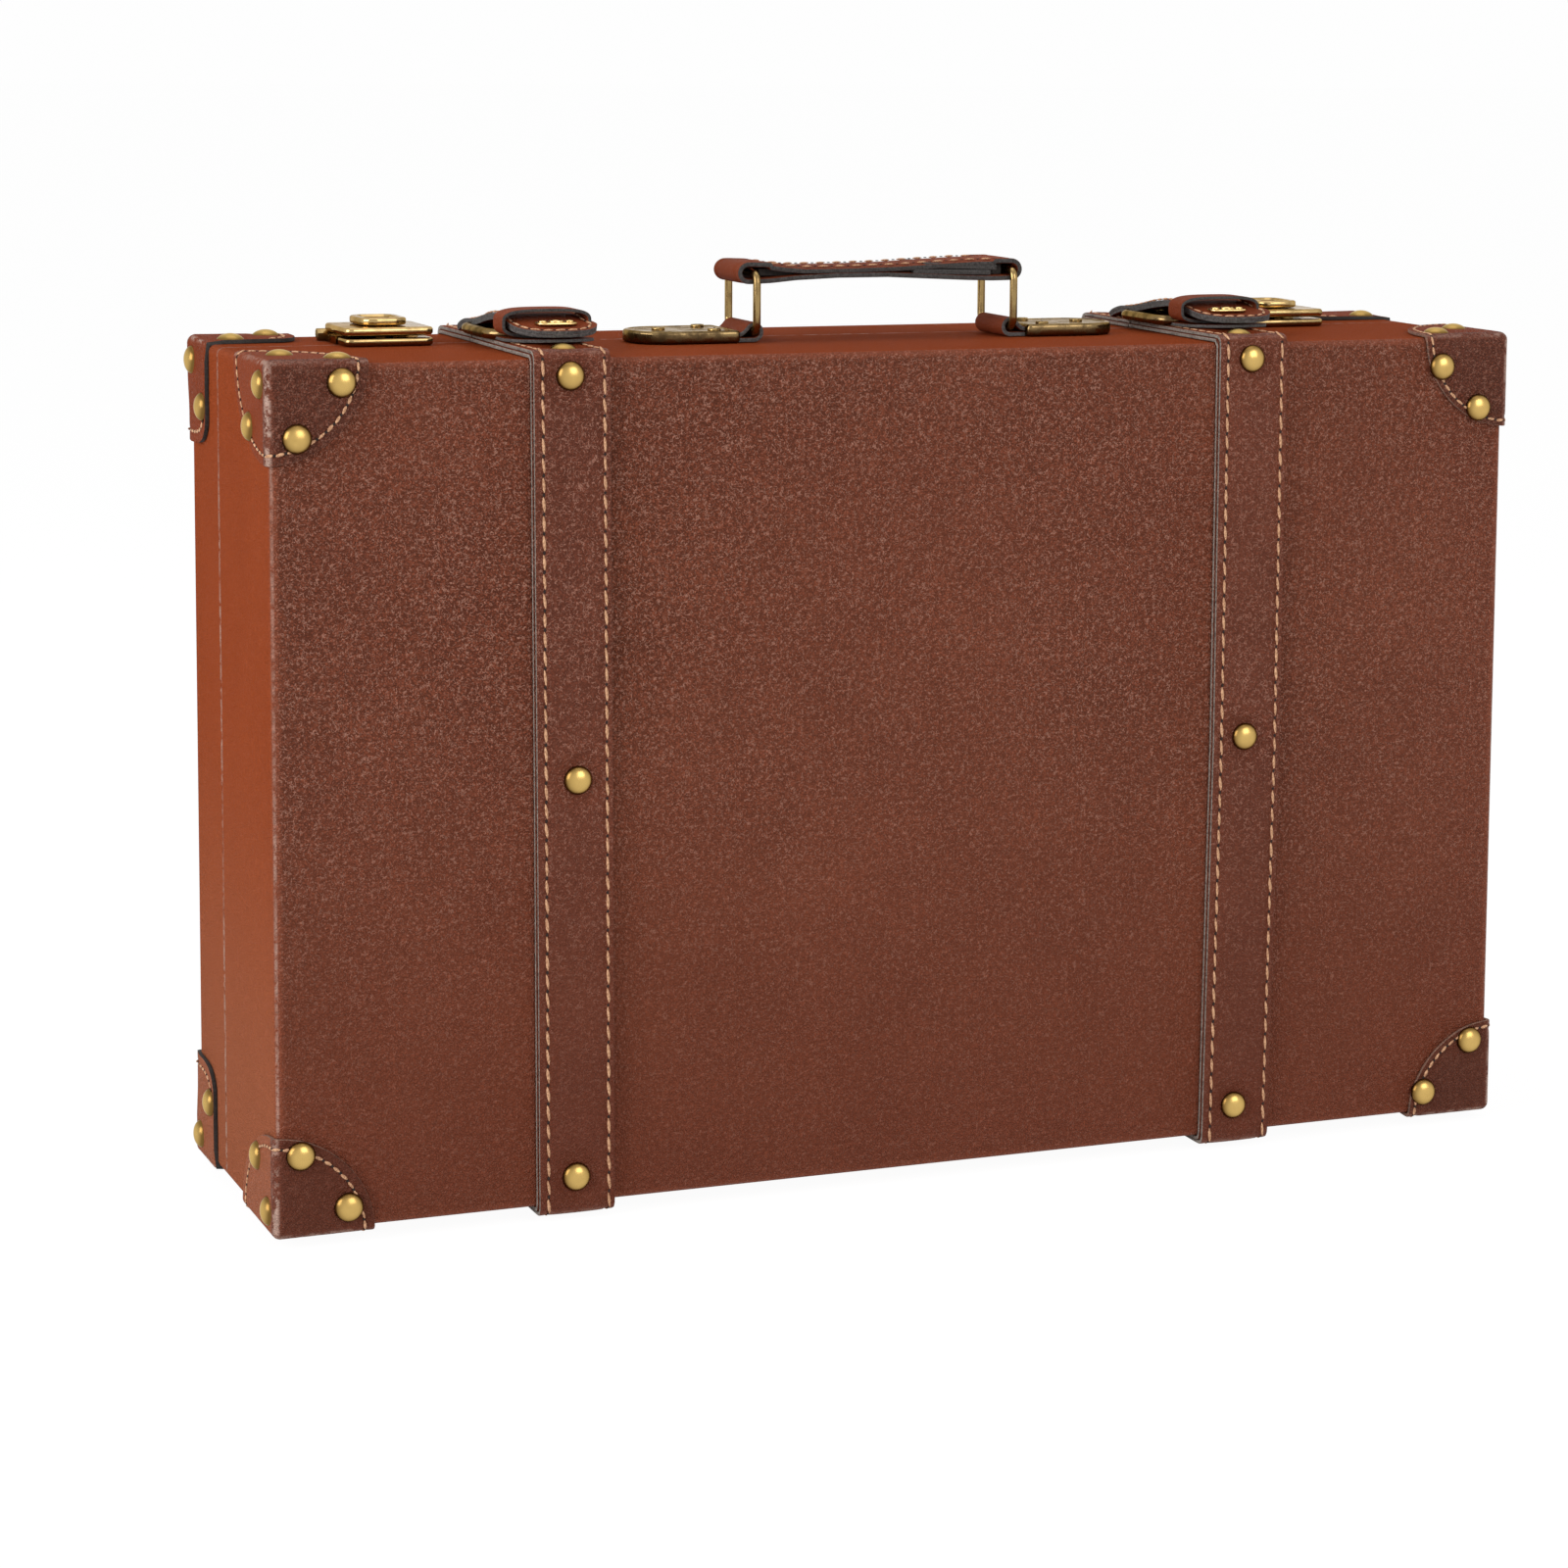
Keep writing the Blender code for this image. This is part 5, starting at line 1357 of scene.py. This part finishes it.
ring_x = {-1: -0.0605, 1: 0.0675}
ring_foot = 0.0049
tab_width, tab_thickness = 0.0320, 0.0020
tab_shares = [-1, -0.93, -0.5, 0, 0.5, 0.93, 1]
tab_outline = [(0.0385, 0.0046), (0.0100, 0.0046), (0.0066, 0.0049), (0.0050, 0.0061),
               *arc((0, ring_foot), (0.0046, 0.0046), 30, 270, 24),
               (0.0060, 0.0003), (0.0385, 0.0003)]
for side_name, side in sides:
    line = [(ring_x[side] + side * out, above_top(up)) for out, up in tab_outline]
    if side > 0:
        line.reverse()
    tab = turned_band(f"handle_tab_{side_name}_leather", tab_shares, even_line(line, 0.0009),
                      tab_width, tab_thickness, (tan_leather, cut_edge))
    dress("base", f"handle_tab_{side_name}", tab)
print("keepers and tabs ready")

# %% The grip
grip_width = 0.0335
grip_middle = 0.0320
grip_thickness = 0.0022
grip_seam = grip_width / 2 - 0.0040
grip_top = [(-0.0620, 0.0371), (-0.0540, 0.0368), (-0.0450, 0.0355), (-0.0360, 0.0347),
            (-0.0150, 0.0347), (0.0100, 0.0352), (0.0300, 0.0362), (0.0480, 0.0370),
            (0.0600, 0.0371), (0.0680, 0.0371)]
grip_under = [(0.0680, 0.0269), (0.0580, 0.0268), (0.0450, 0.0272), (0.0250, 0.0282),
              (0.0050, 0.0292), (-0.0200, 0.0292), (-0.0400, 0.0284), (-0.0520, 0.0273),
              (-0.0620, 0.0269)]
outline = [*grip_top, *arc((ring_x[1], grip_middle), (0.0054, 0.0051), 80, -80, 16),
           *grip_under, *arc((ring_x[-1] - 0.0028, grip_middle), (0.0056, 0.0051), 260, 100, 16),
           grip_top[0]]
grip_line = even_line([(x, above_top(z)) for x, z in outline], 0.0012)
grip_line[-1] = grip_line[0].copy()


def grip_surface(x, place, share, along):
    to_edge = (1 - abs(share)) * grip_width / 2
    on_top = place.y > above_top(grip_middle) and abs(place.x - 0.0035) < 0.055
    crown = 0.0012 * share ** 2 if on_top else 0.0
    return -0.0004 * groove(to_edge - 0.0040, 0.0012) - crown


grip = turned_band("handle_grip_leather", tail_shares, grip_line, grip_width, grip_thickness,
                   (tan_leather, dark_edge_and_hole_shade), closed=True, lift=grip_surface)
seam_line = even_line([(x, above_top(z)) for x, z in grip_top if -0.056 < x < 0.062], 0.0020)
seams = []
for number, across in enumerate((-grip_seam, grip_seam)):
    path = [((place.x, across, place.y - 0.0002), (0, 0, 1)) for place in seam_line]
    seams.append(stitches(f"handle_grip_seam_{number}", path, pitch=0.0080, length=0.0058,
                          slant=0.25, seed=41 + number))
dress("handle_grip", "handle_grip", grip, *seams)

# The black cores are painted shade: dark sheets set back in the grip's hollow.
filler_width, shade_core_width = grip_width - 0.0006, grip_width - 0.0090
fillings = (
    ("filler_0", (0.0180, 0.0328), (0.0570, 0.0318), 0.002, filler_width, 0.0024, dark_edge_and_hole_shade),
    ("filler_1", (0.0240, 0.0356), (0.0600, 0.0341), 0.002, filler_width, 0.0024, dark_edge_and_hole_shade),
    ("shade_core_left", (-0.0572, 0.0337), (-0.0400, 0.0337), 0.003, shade_core_width, 0.0034, black_edge_and_shade),
    ("shade_core_right", (0.0150, 0.0345), (0.0640, 0.0345), 0.003, shade_core_width, 0.0050, black_edge_and_shade))
for name, start, end, step, width, thickness, finish in fillings:
    line = even_line([(x, above_top(z)) for x, z in (start, end)], step)
    filling = turned_band(f"handle_grip_{name}", [-1, -0.5, 0, 0.5, 1], line, width, thickness,
                          (finish, finish))
    dress("handle_grip", None, filling)
print("grip faces:", len(grip.data.polygons))

# %% [markdown]
# ## Wire rings
# Each ring is a brass wire bent into a rectangle with rounded corners. A round section is swept
# along a closed curve, so that the wire stays round in the corners.

# %% Rings
def rounded_outline(low, high, radii, steps=7):
    """A rectangle whose corners are rounded, alike or each by its own radius, from the far one."""
    if not isinstance(radii, tuple):
        radii = (radii,) * 4
    points = []
    signs = ((1, 1), (-1, 1), (-1, -1), (1, -1))
    for quarter, ((sx, sy), radius) in enumerate(zip(signs, radii)):
        middle = ((high[0] if sx > 0 else low[0]) - sx * radius,
                  (high[1] if sy > 0 else low[1]) - sy * radius)
        points += arc(middle, (radius, radius), 90 * quarter, 90 * quarter + 90, steps)
    return points


def wire_loop(name, points, radius, finish):
    """A closed round wire through points."""
    bpy.ops.object.select_all(action="DESELECT")
    bpy.ops.curve.primitive_bezier_circle_add(radius=0.02)
    curve = bpy.context.object.data
    curve.dimensions = "3D"
    curve.splines.remove(curve.splines[0])
    spline = curve.splines.new("POLY")
    spline.points.add(len(points) - 1)
    for target, point in zip(spline.points, points):
        target.co = (*point, 1)
    spline.use_cyclic_u = True
    curve.bevel_depth = radius
    curve.bevel_resolution = 5
    bpy.ops.object.convert(target="MESH")
    wire = bpy.context.object
    wire.data.materials.clear()
    return finish_piece(wire, name, (finish,), 60)


ring_half, ring_rise, ring_bend, ring_wire = 0.01925, 0.0271, 0.0048, 0.0018
ring_outline = rounded_outline((-ring_half, 0), (ring_half, ring_rise), ring_bend, 8)
for side_name, side in sides:
    points = [(ring_x[side], y, above_top(ring_foot + z)) for y, z in ring_outline]
    wire = wire_loop(f"handle_ring_{side_name}_wire", points, ring_wire, ring_brass)
    dress(f"handle_ring_{side_name}", f"handle_ring_{side_name}", wire)
print("rings ready")

# %% [markdown]
# ## Cast brass
# The latches, the knobs and the D-shaped plates are castings with soft edges. An outline is filled
# as one face, extruded to its height and bevelled along its sharp edges, and a shallow dish can be
# sunk into its top by insets. The soft edges are what catches the light on polished brass.

# %% Cast plates and tubes
def round_outline(middle, radius):
    x, y = middle[:2]
    return rounded_outline((x - radius, y - radius), (x + radius, y + radius), radius)


def cast_plate(name, outline, low, high, rounding, finish, dish_steps=()):
    """A bevelled plate over an outline, from one height to another."""
    bpy.ops.object.select_all(action="DESELECT")
    bpy.ops.mesh.primitive_circle_add(vertices=len(outline), radius=0.01, fill_type="NGON")
    plate = bpy.context.object
    for vertex, (x, y) in zip(plate.data.vertices, outline):
        vertex.co = (x, y, low)
    start_edit("FACE")
    bpy.ops.mesh.extrude_region_move(TRANSFORM_OT_translate={"value": (0, 0, high - low)})
    bpy.ops.mesh.select_mode(type="EDGE")
    bpy.ops.mesh.select_all(action="DESELECT")
    bpy.ops.mesh.edges_select_sharp(sharpness=math.radians(60))
    bpy.ops.mesh.bevel(offset=rounding, segments=4, affect="EDGES")
    bpy.ops.mesh.select_all(action="SELECT")
    bpy.ops.mesh.normals_make_consistent(inside=False)
    bpy.ops.mesh.select_mode(type="FACE")
    bpy.ops.mesh.select_all(action="DESELECT")
    end_edit()
    if dish_steps:
        top = max(plate.data.polygons, key=lambda face: (face.normal.z > 0.9) * face.area)
        top.select = True
        bpy.ops.object.mode_set(mode="EDIT")
        for thickness, depth in dish_steps:
            bpy.ops.mesh.inset(thickness=thickness, depth=depth)
        end_edit()
    return finish_piece(plate, name, (finish,), 35)


def tube(name, start, length, outer, inner, finish):
    """A short tube along X."""
    bpy.ops.object.select_all(action="DESELECT")
    bpy.ops.mesh.primitive_circle_add(vertices=32, radius=outer, location=start,
                                      rotation=(0, math.pi / 2, 0))
    made = bpy.context.object
    bpy.ops.object.transform_apply()
    start_edit("EDGE")
    bpy.ops.mesh.extrude_region_move(TRANSFORM_OT_translate={"value": (length, 0, 0)})
    bpy.ops.mesh.select_all(action="SELECT")
    bpy.ops.mesh.normals_make_consistent(inside=False)
    end_edit()
    thicken(made, outer - inner, (finish, finish), 0.0003)
    made.data.materials.clear()
    return finish_piece(made, name, (finish,), 35)


def middle_of(low, high):
    return [(a + b) / 2 for a, b in zip(low, high)]


print("a screw's outline has", len(round_outline((0, 0), 0.0031)), "points")

# %% [markdown]
# ## Latches
# A latch is a plate on the base, a hasp that hangs on a pin at the lid, and a button that turns a
# small cam under the hasp. On the real latch they are stamped or cast and then plated. Each of them
# is a bevelled plate here. The button has a sunk face, and the hasp has a tube round its pin.

# %% Latches and knobs
hasp_thickness, neck_half = 0.0036, 0.0118
knuckle_radius, pin_radius = 0.0024, 0.0014
button_radius, spindle_radius, cam_thickness = 0.0075, 0.0026, 0.0008
button_steps = ((0.0020, 0.0), (0.0009, -0.0010), (0.0008, -0.0002))
for side_name, side in sides:
    name = f"latch_front_plate_{side_name}"
    low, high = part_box(name)
    outline = rounded_outline(low, high, (0.0016, 0.0016, 0.004, 0.004))
    plate = cast_plate(name + "_brass", outline, low[2], high[2], 0.0012, antique_brass)
    dress("base", name, plate)

    name = f"latch_hasp_{side_name}"
    low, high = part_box(name)
    plate_top = high[2]
    _, pin_y, pin_z = middle_of(*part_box(f"latch_pin_{side_name}"))
    neck_low, neck_high = side * latch_x - neck_half, side * latch_x + neck_half
    outline = rounded_outline(low, (high[0], pin_y - 0.0016), (0.003, 0.003, 0.004, 0.004))
    hasp = cast_plate(name + "_brass", outline, plate_top - hasp_thickness, plate_top, 0.0013,
                      antique_brass)
    outline = rounded_outline((neck_low, pin_y - 0.0060), (neck_high, pin_y + 0.0010), 0.001)
    neck = cast_plate(name + "_neck", outline, pin_z + 0.0013, plate_top - 0.0006, 0.0008,
                      antique_brass)
    knuckle = tube(name + "_knuckle", (neck_low, pin_y, pin_z), neck_high - neck_low,
                   knuckle_radius, pin_radius, antique_brass)
    dress(name, name, hasp, neck, knuckle)

    name = f"latch_knob_{side_name}"
    low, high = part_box(name)
    x, y, _ = middle_of(low, high)
    knob = cast_plate(name + "_button", rounded_outline(low, high, button_radius),
                      plate_top + 0.0003, high[2], 0.0011, antique_brass, button_steps)
    spindle = cast_plate(name + "_spindle", round_outline((x, y), spindle_radius),
                         low[2] + 0.0006, plate_top + 0.0006, 0.0002, antique_brass)
    outline = rounded_outline((x - 0.0030, y - 0.0105), (x + 0.0030, y + 0.0030), 0.0029)
    cam = cast_plate(name + "_cam", outline, low[2], low[2] + cam_thickness, 0.0002,
                     antique_brass)
    dress(name, name, knob, spindle, cam)
print("latches ready")

# %% [markdown]
# ## Handle plates
# Each tab of the handle is held down by a D-shaped plate with three screws. The plate is cast with
# a raised rim. A screw's head is a low, rounded disc, and its slot is a thin dark bar of painted
# shade almost level with it. No two slots of a plate point the same way, because a screw stops
# where it is tight.

# %% Handle plates with their screws
round_end, square_end = 0.0175, 0.0028
screw_places = ((0.0105, 0.0120), (0.0105, -0.0120), (0.0335, 0.0))
screw_radius, screw_rise = 0.0031, 0.0010
slot_corners = [(a * 0.0024, b * 0.0004) for a, b in ((1, 1), (-1, 1), (-1, -1), (1, -1))]
for side_name, side in sides:
    name = f"handle_plate_{side_name}"
    low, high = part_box(name)
    radii = tuple(round_end if sx == side else square_end for sx in (1, -1, -1, 1))
    plate_high = high[2] - screw_rise
    plate = cast_plate(name + "_bronze", rounded_outline(low, high, radii, 12), low[2], plate_high,
                       0.0014, antique_bronze, ((0.0008, 0.0), (0.0004, -0.0003)))
    dress("base", name, plate)
    inner_x = high[0] if side < 0 else low[0]
    for number, (out, y) in enumerate(screw_places):
        x = inner_x + side * out
        head = cast_plate(f"{name}_screw_{number}", round_outline((x, y), screw_radius),
                          plate_high - 0.0010, high[2] - 0.0001, 0.0008, ring_brass)
        turn = math.radians(25 + 50 * number)
        cos, sin = math.cos(turn), math.sin(turn)
        outline = [(x + a * cos - b * sin, y + a * sin + b * cos) for a, b in slot_corners]
        # Painted shade: the slot is a thin dark bar on the head.
        slot = cast_plate(f"{name}_slot_{number}", outline, high[2] - 0.0008, high[2] - 0.00005,
                          0.00005, dark_edge_and_hole_shade)
        dress("base", None, head, slot)
print("plates ready")

# %% [markdown]
# ## Buckle frames and eyelets
# The buckle frame is a bar bent into a rounded rectangle, a wire loop again. The eyelet plate on
# the tail's tip is a pressed brass plate with a large eyelet between two small ones. Each eyelet is
# a torus, and a dark disc of painted shade inside it stands for the hole.

# %% Buckle frames and eyelets
bar, frame_bend = 0.0024, 0.0100
eyelet_wire, eyelet_rise = 0.0007, 0.0017
eyelets = ((0.0, 0.0028), (-0.0062, 0.0012), (0.0062, 0.0012))
for side_name, _ in sides:
    body = f"closure_flap_{side_name}"
    name = f"buckle_frame_{side_name}"
    low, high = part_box(name)
    outline = rounded_outline((low[0] + bar, low[1] + bar), (high[0] - bar, high[1] - bar),
                              frame_bend, 10)
    points = [(x, y, (low[2] + high[2]) / 2) for x, y in outline]
    dress(body, name, wire_loop(name + "_bar", points, bar, antique_bronze))

    name = f"eyelet_plate_{side_name}"
    low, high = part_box(name)
    plate = cast_plate(name + "_brass", rounded_outline(low, high, 0.0046), low[2] + 0.0004,
                       low[2] + 0.0016, 0.0005, eyelet_gold)
    dress(body, name, plate)
    x, y, _ = middle_of(low, high)
    for number, (shift, radius) in enumerate(eyelets):
        bpy.ops.object.select_all(action="DESELECT")
        bpy.ops.mesh.primitive_torus_add(
            major_radius=radius, minor_radius=eyelet_wire, major_segments=32,
            minor_segments=12, location=(x + shift, y, low[2] + eyelet_rise))
        ring = bpy.context.object
        bpy.ops.object.transform_apply()
        finish_piece(ring, f"{name}_ring_{number}", (eyelet_gold,), 60)
        # Painted shade: a dark disc stands for the hole.
        hole = cast_plate(f"{name}_hole_{number}", round_outline((x + shift, y), radius),
                          low[2] + 0.0010, low[2] + 0.00168, 0.0001, dark_edge_and_hole_shade)
        dress(body, None, ring, hole)
print("buckles ready")
